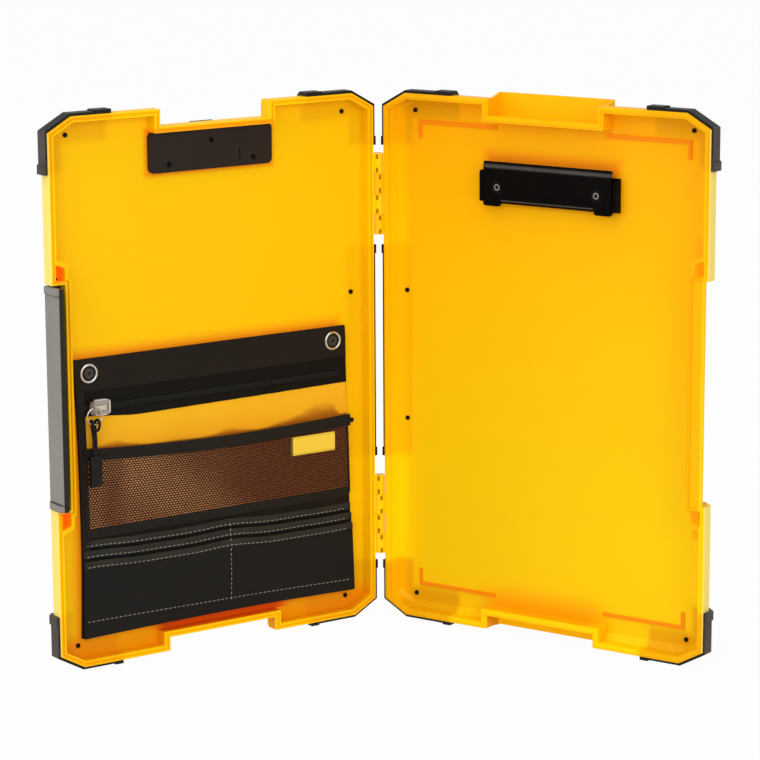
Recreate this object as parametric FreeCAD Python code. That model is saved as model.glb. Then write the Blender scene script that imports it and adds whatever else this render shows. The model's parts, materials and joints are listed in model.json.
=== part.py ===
import FreeCAD, Part
import math
import os

Vector = FreeCAD.Vector

# Everything is drawn with the case shut: the hinge axis stands on x = 0, y = 0, x runs out across
# both halves, the base lies towards +y, the lid towards -y, and z = 0 is the bottom edge of both.
# The lid is then swung open and the whole is moved to its resting frame. Sizes are millimetres.

# Case halves
CASE_HEIGHT = 395.0
HALF_WIDTH = 270.0
HINGE_OFFSET = 4.3
OPEN_ANGLE = 112.0
LID_DEPTH = 12.5
LID_STRAIGHT = 10.5
LID_BACK_INSET = 2.0
BASE_DEPTH = 17.5
BASE_STRAIGHT = 10.0
BASE_BACK_INSET = 8.0
SPINE_BACK_INSET = 2.0
WALL = 2.5
RIM_WIDTH = 4.3
CORNER_CUT_X = 18.7
CORNER_CUT_Z = 10.5
RIM_GAP = 0.4

# Rim seal: a tongue on the base that enters a groove in the lid
GROOVE_INSET = 1.3
GROOVE_WIDTH = 1.6
GROOVE_DEPTH = 1.6
TONGUE_PLAY = 0.35
TONGUE_HEIGHT = 1.2

# Finger notches at the middle of the top and bottom edges, with a bridge of the base behind each
NOTCH_WIDTH = 91.0
NOTCH_DEPTH = 12.5
FOOT_NOTCH_DEPTH = 10.2
BRIDGE_MARGIN = 1.2
BRIDGE_FOOT = 9.0
BRIDGE_DEPTH = 22.5
BRIDGE_RISE_TOP = 3.0
BRIDGE_DROP_BOTTOM = 1.0
BRIDGE_CORNER = 1.5

# Corner ribs that keep a paper stack off the base walls
RIB_MARGIN_X = 22.0
RIB_MARGIN_Z = 21.0
RIB_LONG = 67.0
RIB_SHORT = 13.0
RIB_WIDTH = 2.6
RIB_HEIGHT = 1.2

# Spine hinge: two runs of knuckles that alternate between lid and base
HINGE_LENGTH = 60.8
HINGE_END_INSET = 45.3
KNUCKLE_COUNT = 4
KNUCKLE_RADIUS = 3.6
KNUCKLE_GAP = 0.4
HINGE_PIN_RADIUS = 1.5
RUNNING_FIT = 0.05

# Corner bumpers and spine strips
BUMPER_THICK = 2.0
BUMPER_LIP = 1.0
BUMPER_SETBACK = 1.5
BUMPER_RUN_OUTER = 51.0
BUMPER_RUN_SPINE = 57.0
BUMPER_DROP = 39.5
BUMPER_WRAP_X = 15.0
BUMPER_WRAP_Z = 18.5
LIP_RUN_TOP = 13.0
LIP_RUN = 6.5
STRIP_LENGTH = 160.5
STRIP_RAISE = 3.4
LID_STRIP_WRAP = 18.5
BASE_STRIP_WRAP = 15.0

# Small screws that hold the bumpers and strips from inside
SCREW_RADIUS = 1.0
SCREW_HEAD_RADIUS = 1.7
SCREW_HEAD_HEIGHT = 0.9
SCREW_CLEARANCE = 0.06
SCREW_SOCKET_RADIUS = 0.7
SCREW_SOCKET_DEPTH = 0.5
SCREW_INSET_Z = 13.8
LID_SCREW_OUTER = 18.5
LID_SCREW_SPINE = 21.7
BASE_SCREW_OUTER = 20.3
BASE_SCREW_SPINE = 18.9
STRIP_SCREW_SPACING = 97.5
LID_STRIP_SCREW = 14.7
BASE_STRIP_SCREW = 11.2

# Side latch: a long plate that turns on a pin in the lid and hooks behind a flange of the base
RECESS_LENGTH = 161.6
RECESS_DEPTH = 10.8
RECESS_SLANT_OUT = 19.5
RECESS_SLANT_IN = 13.9
POCKET_LIP = 0.5
LATCH_END_GAP = 1.2
LATCH_PLATE = 2.4
LATCH_FACE_PROUD = 0.2
LATCH_BACK_INSET = 1.3
LATCH_REACH = 9.3
LATCH_HOOK_BITE = 2.6
LATCH_HOOK_GAP = 0.5
LATCH_LIP = 1.4
LATCH_LIP_RUN = 4.8
LATCH_EDGE_BEVEL = 0.8
LATCH_PIN_RADIUS = 1.5
LATCH_KNUCKLE_RADIUS = 3.0
LATCH_PIN_INSET = 7.3
LATCH_PIN_DEPTH = 8.25
LATCH_PIN_END = 4.0
FLANGE_THICK = 2.5
FLANGE_INSET = 2.6

# Spring clips: a plate with end ears, a sprung lever on a pin, one inside the base, one on the lid
CLIP_SHEET = 1.2
CLIP_EAR_WIDTH = 3.2
CLIP_EAR_HEIGHT = 6.6
CLIP_EAR_RUN = 23.0
CLIP_FOOT_RUN = 14.0
CLIP_FOOT_DROP = 2.0
CLIP_FOOT_RISE = 6.0
CLIP_FOOT_CORNER = 1.8
CLIP_END_GAP = 0.6
CLIP_STAND = 7.5
CLIP_PIN_RADIUS = 1.2
CLIP_PIN_HEIGHT = 3.75
CLIP_PIN_RISE = 12.0
CLIP_PLATE_TOP = 6.0
CLIP_BEVEL = 2.4
CLIP_CHEEK_WALL = 0.8
CLIP_TOP_DROP = 2.6
CLIP_JAW_GAP = 0.4
CLIP_TAIL_HEIGHT = 6.4
CLIP_RIVET_RADIUS = 2.6
CLIP_RIVET_PROUD = 0.7
CLIP_RIVET_SHANK = 2.1
CLIP_RIVET_BORE = 1.6
CLIP_RIVET_INSET = 12.0
SPRING_WIRE = 0.8
SPRING_TURNS = 6
SPRING_PITCH = 1.3
SPRING_PLAY = 0.3
FIXING_RADIUS = 1.6
FIXING_HEAD_RADIUS = 3.0
FIXING_HEAD = 1.0
FIXING_SPACING = 50.0
BASE_CLIP_LENGTH = 113.8
BASE_CLIP_HEIGHT = 30.5
BASE_CLIP_DROP = 46.0
LID_CLIP_LENGTH = 100.4
LID_CLIP_HEIGHT = 31.0
LID_CLIP_DROP = 16.0
THUMB_TAB_WIDTH = 20.0
THUMB_TAB_RISE = 2.8

# Backing plate inside the lid, and the screws that pull the outer clip against it
BACKING_WIDTH = 102.0
BACKING_HEIGHT = 29.2
BACKING_THICK = 3.0
BACKING_DROP = 17.1
BACKING_CORNER = 4.0
BACKING_SCREW_SPREAD = 70.2
BACKING_SCREW_LOW = 23.6
BACKING_SCREW_HIGH = 8.6
BACKING_SLIT_OFFSET = 24.0
BACKING_SLIT_TOP = 16.0
BACKING_SLIT_LENGTH = 8.6
BACKING_SLIT_WIDTH = 1.0
BACKING_SLIT_DEPTH = 0.8

# Fabric pouch that hangs on two studs in the lid
CLOTH = 1.2
POUCH_PLAY = 0.3
POUCH_OUTER_INSET = 19.0
POUCH_SPINE_INSET_TOP = 21.7
POUCH_SPINE_INSET_FOOT = 15.5
POUCH_BOTTOM = 18.6
POUCH_HEIGHT = 203.5
FLAP_HEIGHT = 23.5
SIDE_MARGIN = 6.0
ZIP_BAND = 17.5
ZIP_TEETH_WIDTH = 4.0
ZIP_TEETH_THICK = 1.0
ZIP_LINE = 12.0
BAND_HEIGHT = 84.0
MESH_DROP = 64.5
MESH_HEIGHT = 63.0
MESH_THICK = 1.4
BINDING_HEIGHT = 9.0
BINDING_PROUD = 0.6
PEN_POCKET_DROP = 133.9
PEN_POCKET_STEP = 7.5
PEN_POCKET_LAYERS = 3
LABEL_WIDTH = 39.0
LABEL_HEIGHT = 17.0
LABEL_THICK = 0.5
LABEL_INSET = 13.0
LABEL_DROP = 13.5
GROMMET_DROP = 10.5
GROMMET_INSET_OUTER = 12.4
GROMMET_INSET_SPINE = 11.2
GROMMET_RADIUS = 7.2
GROMMET_BORE = 5.2
GROMMET_PROUD = 1.0
STUD_HEAD_PROUD = 0.6
STUD_PLAY = 0.3
STUD_STEM_RADIUS = 2.0

# Zip slider with its pull: an eye ring, a doubled cord and a moulded tab
SLIDER_LENGTH = 16.0
SLIDER_WIDTH = 11.5
SLIDER_NOSE_WIDTH = 8.6
SLIDER_TAIL_WIDTH = 9.4
SLIDER_CORNER = 1.6
SLIDER_THICK = 1.6
SLIDER_GAP = 0.3
SLIDER_START = 19.7
EYE_OFFSET = 6.5
EYE_WIRE = 0.8
PULL_RISE = 0.8
PULL_RING_RADIUS = 5.9
PULL_RING_WIRE = 0.65
PULL_CORD_WIDTH = 2.0
PULL_CORD_LENGTH = 23.0
PULL_CORD_PARTING = 0.5
PULL_TAB_WIDTH = 9.6
PULL_TAB_LENGTH = 21.6
PULL_TAB_THICK = 4.0
PULL_TAB_CORNER = 2.5
PULL_STANDOFF = 0.5

# Places that follow from the sizes above
OUTER_X = HINGE_OFFSET + HALF_WIDTH
CENTRE_X = HINGE_OFFSET + HALF_WIDTH / 2
MIDDLE_Z = CASE_HEIGHT / 2
LID_PANEL_Y = -(LID_DEPTH - WALL)
BASE_PANEL_Y = BASE_DEPTH - WALL
RECESS_X = OUTER_X - RECESS_DEPTH
RECESS_LOW = MIDDLE_Z - RECESS_LENGTH / 2
RECESS_HIGH = MIDDLE_Z + RECESS_LENGTH / 2
LATCH_PIN_X = OUTER_X - LATCH_PIN_INSET
BASE_CLIP_FOOT_Z = CASE_HEIGHT - BASE_CLIP_DROP - BASE_CLIP_HEIGHT
LID_CLIP_FOOT_Z = CASE_HEIGHT - LID_CLIP_DROP - LID_CLIP_HEIGHT
POUCH_OUTER_X = OUTER_X - POUCH_OUTER_INSET
POUCH_TOP = POUCH_BOTTOM + POUCH_HEIGHT
POUCH_BACK_Y = LID_PANEL_Y + POUCH_PLAY
POUCH_FRONT_Y = POUCH_BACK_Y + CLOTH
ZIP_Z = POUCH_TOP - FLAP_HEIGHT - ZIP_LINE
FAR = 2 * CASE_HEIGHT


def cuboid(x0, x1, y0, y1, z0, z1):
    return Part.makeBox(x1 - x0, y1 - y0, z1 - z0, Vector(x0, y0, z0))


def prism(points, y0, y1):
    """A straight block along y whose section is a polygon of (x, z) points."""
    corners = [Vector(x, y0, z) for x, z in points]
    face = Part.Face(Part.makePolygon(corners + corners[:1]))
    return face.extrude(Vector(0, y1 - y0, 0))


def profile_along_x(points, x0, x1):
    """A straight block along x whose section is a polygon of (y, z) points."""
    corners = [Vector(x0, y, z) for y, z in points]
    face = Part.Face(Part.makePolygon(corners + corners[:1]))
    return face.extrude(Vector(x1 - x0, 0, 0))


def rod(start, direction, radius, length):
    return Part.makeCylinder(radius, length, start, direction)


def fuse(shapes):
    first, rest = shapes[0], shapes[1:]
    if not rest:
        return first
    return first.multiFuse(rest).removeSplitter()


def rounded_plate(x0, x1, y0, y1, z0, z1, radius):
    """A flat plate whose four corners, seen along y, are rounded."""
    plate = cuboid(x0, x1, y0, y1, z0, z1)
    upright = [e for e in plate.Edges if abs(e.Vertexes[0].Y - e.Vertexes[1].Y) > (y1 - y0) / 2]
    return plate.makeFillet(radius, upright)


def offset_polygon(points, inset):
    """Move every side of an anticlockwise polygon inwards and mitre the corners."""
    moved = []
    for i, (x, z) in enumerate(points):
        px, pz = points[i - 1]
        nx, nz = points[(i + 1) % len(points)]
        ax, az = x - px, z - pz
        bx, bz = nx - x, nz - z
        a_len, b_len = math.hypot(ax, az), math.hypot(bx, bz)
        a_normal = (-az / a_len, ax / a_len)
        b_normal = (-bz / b_len, bx / b_len)
        scale = inset / (1 + a_normal[0] * b_normal[0] + a_normal[1] * b_normal[1])
        moved.append((x + (a_normal[0] + b_normal[0]) * scale, z + (a_normal[1] + b_normal[1]) * scale))
    return moved


def strip_polygon(points, thickness):
    """The closed section of a bent sheet whose outer face follows the points."""
    inner = []
    for i, (u, w) in enumerate(points):
        before = points[max(i - 1, 0)]
        after = points[min(i + 1, len(points) - 1)]
        arms = [(u - before[0], w - before[1]), (after[0] - u, after[1] - w)]
        normals = [(-b / math.hypot(a, b), a / math.hypot(a, b)) for a, b in arms if math.hypot(a, b) > 0]
        total = [sum(n[k] for n in normals) for k in (0, 1)]
        scale = thickness * len(normals) / (total[0] ** 2 + total[1] ** 2)
        inner.append((u + total[0] * scale, w + total[1] * scale))
    return points + inner[::-1]


def case_ring(y, grow, spine_grow):
    """The cut-corner outline of a half at depth y, with its sides moved outwards."""
    slant = math.hypot(CORNER_CUT_X, CORNER_CUT_Z)
    spine_slant = (grow + spine_grow) / 2
    left, right = HINGE_OFFSET - spine_grow, OUTER_X + grow
    low, high = -grow, CASE_HEIGHT + grow

    def run(slant_grow):
        return CORNER_CUT_X + (CORNER_CUT_X * grow - slant_grow * slant) / CORNER_CUT_Z

    def drop(slant_grow, side_grow):
        return CORNER_CUT_Z - (slant_grow * slant - CORNER_CUT_Z * side_grow) / CORNER_CUT_X

    near_run, far_run = HINGE_OFFSET + run(spine_slant), OUTER_X - run(grow)
    near_drop, far_drop = drop(spine_slant, spine_grow), drop(grow, grow)
    points = [
        (near_run, low), (far_run, low), (right, far_drop), (right, CASE_HEIGHT - far_drop),
        (far_run, high), (near_run, high), (left, CASE_HEIGHT - near_drop), (left, near_drop),
    ]
    corners = [Vector(x, y, z) for x, z in points]
    return Part.makePolygon(corners + corners[:1])


class Half:
    """One tray of the case: which way it faces and how deep it is."""

    def __init__(self, side, depth, straight, back_inset, spine_inset, screw_insets):
        self.side = side
        self.depth = depth
        self.straight = straight
        self.back_inset = back_inset
        self.spine_inset = spine_inset
        self.screw_insets = screw_insets
        self.panel_y = side * (depth - WALL)
        self.rim_y = side * RIM_GAP / 2

    def block(self, grow, front):
        """The filled outer form, grown evenly, from a front depth to the back."""
        slope = self.back_inset / (self.depth - self.straight)
        bevel = math.hypot(1, slope)
        bend = self.straight + grow * (bevel - 1) / slope
        back_grow = grow * (bevel - slope) - self.back_inset
        rings = [
            case_ring(self.side * front, grow, grow),
            case_ring(self.side * bend, grow, grow),
            case_ring(self.side * (self.depth + grow), back_grow, grow - self.spine_inset),
        ]
        return Part.makeLoft(rings, True, True)


LID = Half(-1, LID_DEPTH, LID_STRAIGHT, LID_BACK_INSET, LID_BACK_INSET,
           (LID_SCREW_SPINE, LID_SCREW_OUTER, LID_STRIP_SCREW))
BASE = Half(1, BASE_DEPTH, BASE_STRAIGHT, BASE_BACK_INSET, SPINE_BACK_INSET,
            (BASE_SCREW_SPINE, BASE_SCREW_OUTER, BASE_STRIP_SCREW))


def rim_outline():
    """The rim as seen face on: cut corners, two finger notches and the latch recess."""
    left, right = HINGE_OFFSET, OUTER_X
    notch_left, notch_right = CENTRE_X - NOTCH_WIDTH / 2, CENTRE_X + NOTCH_WIDTH / 2
    top, deep = CASE_HEIGHT, CASE_HEIGHT - NOTCH_DEPTH
    return [
        (left + CORNER_CUT_X, 0), (notch_left, 0), (notch_left, FOOT_NOTCH_DEPTH),
        (notch_right, FOOT_NOTCH_DEPTH),
        (notch_right, 0), (right - CORNER_CUT_X, 0), (right, CORNER_CUT_Z), (right, RECESS_LOW),
        (RECESS_X, RECESS_LOW), (RECESS_X, RECESS_HIGH), (right, RECESS_HIGH), (right, top - CORNER_CUT_Z),
        (right - CORNER_CUT_X, top), (notch_right, top), (notch_right, deep), (notch_left, deep),
        (notch_left, top), (left + CORNER_CUT_X, top), (left, top - CORNER_CUT_Z), (left, CORNER_CUT_Z),
    ]


def rim_band(inset, width, y0, y1):
    """A band that follows the rim, used for the groove and the tongue."""
    outer = prism(offset_polygon(rim_outline(), inset), y0, y1)
    return outer.cut(prism(offset_polygon(rim_outline(), inset + width), y0, y1))


def recess_ends():
    """Each end of the latch recess, with the way from there to the nearer end of the case."""
    return ((RECESS_HIGH, 1), (RECESS_LOW, -1))


def recess_blocks(half):
    """The slant-topped blocks at the ends of the latch recess, which the pockets are cut into."""
    inner_x, outer_x = RECESS_X - WALL, OUTER_X - WALL / 2
    blocks = []
    for end, sign in recess_ends():
        points = [(outer_x, end), (outer_x, end + sign * RECESS_SLANT_OUT),
                  (inner_x, end + sign * RECESS_SLANT_IN), (inner_x, end)]
        blocks.append(prism(points, half.rim_y, half.panel_y))
    return blocks


def recess_pockets(half):
    """The open pockets in those blocks, one wall inside them."""
    inner_x, outer_x = RECESS_X, OUTER_X - GROOVE_INSET - GROOVE_WIDTH - POCKET_LIP
    pockets = []
    for end, sign in recess_ends():
        floor_z = end + sign * WALL
        points = [(outer_x, floor_z), (outer_x, end + sign * (RECESS_SLANT_OUT - 2 * WALL)),
                  (inner_x, end + sign * (RECESS_SLANT_IN - WALL)), (inner_x, floor_z)]
        pockets.append(prism(points, -half.rim_y, half.panel_y))
    return pockets


def hinge_spans():
    """The lower and upper ends of both hinges."""
    low = HINGE_END_INSET
    high = CASE_HEIGHT - HINGE_END_INSET - HINGE_LENGTH
    return [(low, low + HINGE_LENGTH), (high, high + HINGE_LENGTH)]


def knuckles(half):
    """The hinge barrels of one half, every second place counted from the top."""
    pitch = HINGE_LENGTH / KNUCKLE_COUNT
    first = 0 if half is LID else 1
    barrels = []
    for low, high in hinge_spans():
        for place in range(first, KNUCKLE_COUNT, 2):
            z1 = high - place * pitch - KNUCKLE_GAP / 2
            z0 = high - (place + 1) * pitch + KNUCKLE_GAP / 2
            barrel = rod(Vector(0, 0, z0), Vector(0, 0, 1), KNUCKLE_RADIUS, z1 - z0)
            y0, y1 = sorted((half.rim_y, half.side * KNUCKLE_RADIUS))
            barrels.append(barrel.fuse(cuboid(0, HINGE_OFFSET + WALL / 2, y0, y1, z0, z1)))
    return barrels


def hinge_bores():
    return [rod(Vector(0, 0, low), Vector(0, 0, 1), HINGE_PIN_RADIUS + RUNNING_FIT, high - low)
            for low, high in hinge_spans()]


def hinge_pins():
    return [rod(Vector(0, 0, low), Vector(0, 0, 1), HINGE_PIN_RADIUS, high - low)
            for low, high in hinge_spans()]


def corner_screw_places(half):
    """The (x, z) places of the four bumper screws and the two strip screws of one half."""
    spine_inset, outer_inset, strip_inset = half.screw_insets
    spine_x, outer_x, strip_x = HINGE_OFFSET + spine_inset, OUTER_X - outer_inset, HINGE_OFFSET + strip_inset
    low, high = SCREW_INSET_Z, CASE_HEIGHT - SCREW_INSET_Z
    corners = [(spine_x, low), (spine_x, high), (outer_x, low), (outer_x, high)]
    strip = [(strip_x, MIDDLE_Z + side * STRIP_SCREW_SPACING / 2) for side in (-1, 1)]
    return corners + strip


def screw_bores(half):
    radius = SCREW_RADIUS + SCREW_CLEARANCE
    return [rod(Vector(x, 0, z), Vector(0, half.side, 0), radius, FAR) for x, z in corner_screw_places(half)]


def bumper_screws(half):
    """Flat-headed screws driven from inside the tray into the bumpers and the strip."""
    screws = []
    inward = Vector(0, -half.side, 0)
    for x, z in corner_screw_places(half):
        seat = Vector(x, half.panel_y, z)
        head = rod(seat, inward, SCREW_HEAD_RADIUS, SCREW_HEAD_HEIGHT)
        shank = rod(seat, -inward, SCREW_RADIUS, WALL + BUMPER_THICK)
        socket_top = seat + inward * SCREW_HEAD_HEIGHT
        socket = rod(socket_top, -inward, SCREW_SOCKET_RADIUS, SCREW_SOCKET_DEPTH)
        screws.append(head.fuse(shank).cut(socket))
    return Part.makeCompound(screws)


def tray(half):
    """The open tray of one half, with its rim, notches, latch pockets and hinge barrels."""
    outline = rim_outline()
    outer = half.block(0, RIM_GAP / 2).common(prism(outline, half.rim_y, half.side * FAR))
    mouth = prism(offset_polygon(outline, RIM_WIDTH), -half.rim_y, half.side * FAR)
    hollow = half.block(-WALL, -RIM_GAP / 2).common(mouth)
    blocks = [block.common(outer) for block in recess_blocks(half)]
    shell = fuse([outer.cut(hollow)] + blocks + knuckles(half))
    return shell.cut(Part.makeCompound(recess_pockets(half)))


def lid_shell():
    shell = tray(LID)
    groove = rim_band(GROOVE_INSET, GROOVE_WIDTH, LID.rim_y, LID.rim_y - GROOVE_DEPTH)
    pin_bore = rod(Vector(LATCH_PIN_X, -LATCH_PIN_DEPTH, RECESS_LOW - LATCH_PIN_END), Vector(0, 0, 1),
                   LATCH_PIN_RADIUS + RUNNING_FIT, RECESS_LENGTH + 2 * LATCH_PIN_END)
    studs = [rod(Vector(x, LID_PANEL_Y, z), Vector(0, -1, 0), STUD_STEM_RADIUS, WALL) for x, z in stud_places()]
    cuts = [groove, pin_bore] + hinge_bores() + screw_bores(LID) + backing_bores() + studs
    return shell.cut(Part.makeCompound(cuts))


def corner_ribs():
    """Four low L-shaped ribs on the floor of the base."""
    x0, x1 = HINGE_OFFSET + RIB_MARGIN_X, OUTER_X - RIB_MARGIN_X
    z0, z1 = RIB_MARGIN_Z, CASE_HEIGHT - RIB_MARGIN_Z
    low, high = BASE_PANEL_Y - RIB_HEIGHT, BASE_DEPTH - WALL / 2
    ribs = []
    for corner_x, step_x in ((x0, 1), (x1, -1)):
        for corner_z, step_z in ((z0, 1), (z1, -1)):
            across = sorted((corner_x, corner_x + step_x * RIB_LONG))
            beside = sorted((corner_x, corner_x + step_x * RIB_WIDTH))
            up = sorted((corner_z, corner_z + step_z * RIB_SHORT))
            over = sorted((corner_z, corner_z + step_z * RIB_WIDTH))
            ribs.append(cuboid(*across, low, high, *over))
            ribs.append(cuboid(*beside, low, high, *up))
    return ribs


def notch_bridge(edge_z, inward, rise, notch_depth):
    """The raised pad on the back of the base that closes a finger notch from behind."""
    half_width = NOTCH_WIDTH / 2
    outer_z, foot_z = edge_z - inward * rise, edge_z + inward * (notch_depth + BRIDGE_FOOT)
    z0, z1 = sorted((outer_z, foot_z))
    pad = rounded_plate(CENTRE_X - half_width - BRIDGE_MARGIN, CENTRE_X + half_width + BRIDGE_MARGIN,
                        BASE_DEPTH - WALL / 2, BRIDGE_DEPTH, z0, z1, BRIDGE_CORNER)
    notch_z = edge_z + inward * notch_depth
    z0, z1 = sorted((outer_z - inward * rise, notch_z))
    pad = pad.cut(cuboid(CENTRE_X - half_width, CENTRE_X + half_width, 0, BRIDGE_DEPTH - WALL, z0, z1))
    slope = [(BASE_STRAIGHT, edge_z), (BRIDGE_DEPTH - BRIDGE_CORNER, outer_z),
             (BRIDGE_DEPTH - BRIDGE_CORNER, notch_z), (BASE_STRAIGHT, notch_z)]
    sides = (CENTRE_X - half_width - WALL, CENTRE_X + half_width)
    cheeks = [profile_along_x(slope, x, x + WALL) for x in sides]
    return fuse([pad] + cheeks)


def base_shell():
    bridges = [notch_bridge(CASE_HEIGHT, -1, BRIDGE_RISE_TOP, NOTCH_DEPTH),
               notch_bridge(0, 1, BRIDGE_DROP_BOTTOM, FOOT_NOTCH_DEPTH)]
    flange = cuboid(RECESS_X - WALL / 2, OUTER_X - FLANGE_INSET, BASE.rim_y, BASE.rim_y + FLANGE_THICK,
                    RECESS_LOW - WALL / 2, RECESS_HIGH + WALL / 2)
    tongue = rim_band(GROOVE_INSET + TONGUE_PLAY, GROOVE_WIDTH - 2 * TONGUE_PLAY,
                      BASE.rim_y - TONGUE_HEIGHT, BASE.rim_y)
    shell = fuse([tray(BASE), flange, tongue] + bridges + corner_ribs())
    cuts = hinge_bores() + screw_bores(BASE) + clip_bores(BASE_PANEL_Y, BASE_CLIP_FOOT_Z)
    return shell.cut(Part.makeCompound(cuts))


def skin(half, inner_grow, outer_grow):
    """A skin of even thickness on the outside of a half."""
    return half.block(outer_grow, BUMPER_SETBACK).cut(half.block(inner_grow, 0))


def corner_bumper(half, at_spine, at_top):
    """A cap round one corner that wraps on to the back, with a raised lip at each end."""
    run = BUMPER_RUN_SPINE if at_spine else BUMPER_RUN_OUTER
    edge_x, inward_x = (HINGE_OFFSET, 1) if at_spine else (OUTER_X, -1)
    edge_z, inward_z = (CASE_HEIGHT, -1) if at_top else (0, 1)

    def zone(x_from, x_to, z_from, z_to):
        xs = sorted((edge_x + inward_x * x_from, edge_x + inward_x * x_to))
        zs = sorted((edge_z + inward_z * z_from, edge_z + inward_z * z_to))
        return cuboid(*xs, -FAR, FAR, *zs)

    outside = -2 * (BUMPER_THICK + BUMPER_LIP)
    along, down = zone(outside, run, outside, BUMPER_WRAP_Z), zone(outside, BUMPER_WRAP_X, outside, BUMPER_DROP)
    cap = skin(half, 0, BUMPER_THICK).common(along.fuse(down))
    lip_run = LIP_RUN_TOP if at_top else LIP_RUN
    lip_zone = zone(run - lip_run, run, outside, BUMPER_WRAP_Z)
    side_zone = zone(outside, BUMPER_WRAP_X, BUMPER_DROP - LIP_RUN, BUMPER_DROP)
    lips = skin(half, BUMPER_THICK, BUMPER_THICK + BUMPER_LIP).common(lip_zone.fuse(side_zone))
    return fuse([cap, lips]).cut(Part.makeCompound(screw_bores(half)))


def spine_strip(half, wrap):
    """The strip between the two hinges that guards the spine and wraps on to the back."""
    middle = MIDDLE_Z + STRIP_RAISE
    low, high = middle - STRIP_LENGTH / 2, middle + STRIP_LENGTH / 2
    near, far = HINGE_OFFSET - 2 * (BUMPER_THICK + BUMPER_LIP), HINGE_OFFSET + wrap
    reach = cuboid(near, far, -FAR, FAR, low, high)
    ends = cuboid(near, far, -FAR, FAR, low, low + LIP_RUN)
    ends = ends.fuse(cuboid(near, far, -FAR, FAR, high - LIP_RUN, high))
    cap = skin(half, 0, BUMPER_THICK).common(reach)
    lips = skin(half, BUMPER_THICK, BUMPER_THICK + BUMPER_LIP).common(ends)
    return fuse([cap, lips]).cut(Part.makeCompound(screw_bores(half)))


def latch():
    """The latch plate with its hook, end lips and the barrel that turns on the pin."""
    low, high = RECESS_LOW + LATCH_END_GAP, RECESS_HIGH - LATCH_END_GAP
    face_x = OUTER_X + LATCH_FACE_PROUD
    inner_x = face_x - LATCH_PLATE
    back_y = -(LID_DEPTH - LATCH_BACK_INSET)
    hook_x = inner_x - LATCH_HOOK_BITE
    hook_y = RIM_GAP / 2 + FLANGE_THICK + LATCH_HOOK_GAP
    bevel = LATCH_EDGE_BEVEL

    def section(points, z0, z1):
        corners = [Vector(x, y, z0) for x, y in points]
        return Part.Face(Part.makePolygon(corners + corners[:1])).extrude(Vector(0, 0, z1 - z0))

    plate = section([
        (inner_x, back_y), (face_x - bevel, back_y), (face_x, back_y + bevel), (face_x, LATCH_REACH - bevel),
        (face_x - bevel, LATCH_REACH), (hook_x + bevel, LATCH_REACH), (hook_x, LATCH_REACH - bevel),
        (hook_x, hook_y), (inner_x, hook_y),
    ], low, high)
    web_y0, web_y1 = -LATCH_PIN_DEPTH - LATCH_KNUCKLE_RADIUS, -LATCH_PIN_DEPTH + LATCH_KNUCKLE_RADIUS
    web = cuboid(LATCH_PIN_X, inner_x, web_y0, web_y1, low, high)
    foot = Vector(LATCH_PIN_X, -LATCH_PIN_DEPTH, low)
    barrel = rod(foot, Vector(0, 0, 1), LATCH_KNUCKLE_RADIUS, high - low)
    lip = [(face_x, back_y + bevel), (face_x + LATCH_LIP, back_y + bevel + LATCH_LIP),
           (face_x + LATCH_LIP, LATCH_REACH - bevel - LATCH_LIP), (face_x, LATCH_REACH - bevel)]
    lips = [section(lip, low, low + LATCH_LIP_RUN), section(lip, high - LATCH_LIP_RUN, high)]
    bore = rod(foot, Vector(0, 0, 1), LATCH_PIN_RADIUS + RUNNING_FIT, high - low)
    return fuse([plate, web, barrel] + lips).cut(bore)


def latch_pin():
    return rod(Vector(LATCH_PIN_X, -LATCH_PIN_DEPTH, RECESS_LOW - LATCH_PIN_END), Vector(0, 0, 1),
               LATCH_PIN_RADIUS, RECESS_LENGTH + 2 * LATCH_PIN_END)


def clip_pin_place(seat_y, foot_z):
    """Where a clip's pin runs: its depth and its height."""
    return seat_y - CLIP_PIN_HEIGHT, foot_z + CLIP_PIN_RISE


def clip_bores(seat_y, foot_z):
    """Holes through a case panel for the two fixings of a clip plate."""
    radius = FIXING_RADIUS + SCREW_CLEARANCE
    z = foot_z + CLIP_PIN_RISE
    return [rod(Vector(CENTRE_X + side * FIXING_SPACING / 2, seat_y - CLIP_SHEET, z), Vector(0, 1, 0),
                radius, CLIP_SHEET + WALL) for side in (-1, 1)]


def clip_plate(seat_y, foot_z, length, height, bores):
    """The fixed plate of a clip: a flat sheet with a rounded ear at each end."""
    x0, x1 = CENTRE_X - length / 2, CENTRE_X + length / 2
    pin_y, pin_z = clip_pin_place(seat_y, foot_z)
    sheet = cuboid(x0, x1, seat_y - CLIP_SHEET, seat_y, foot_z, foot_z + height - CLIP_PLATE_TOP)
    pieces = [sheet]
    for low_x in (x0, x1 - CLIP_EAR_WIDTH):
        ear = cuboid(low_x, low_x + CLIP_EAR_WIDTH, seat_y - CLIP_EAR_HEIGHT, seat_y,
                     pin_z - CLIP_EAR_RUN / 2, pin_z + CLIP_EAR_RUN / 2)
        front = [e for e in ear.Edges if e.Length < CLIP_EAR_WIDTH + CLIP_SHEET
                 and max(v.Y for v in e.Vertexes) < seat_y - CLIP_SHEET]
        pieces.append(ear.makeFillet(CLIP_EAR_HEIGHT / 3, front))
    pin_bore = rod(Vector(x0, pin_y, pin_z), Vector(1, 0, 0), CLIP_PIN_RADIUS + RUNNING_FIT, length)
    return fuse(pieces).cut(Part.makeCompound([pin_bore] + bores))


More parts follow.
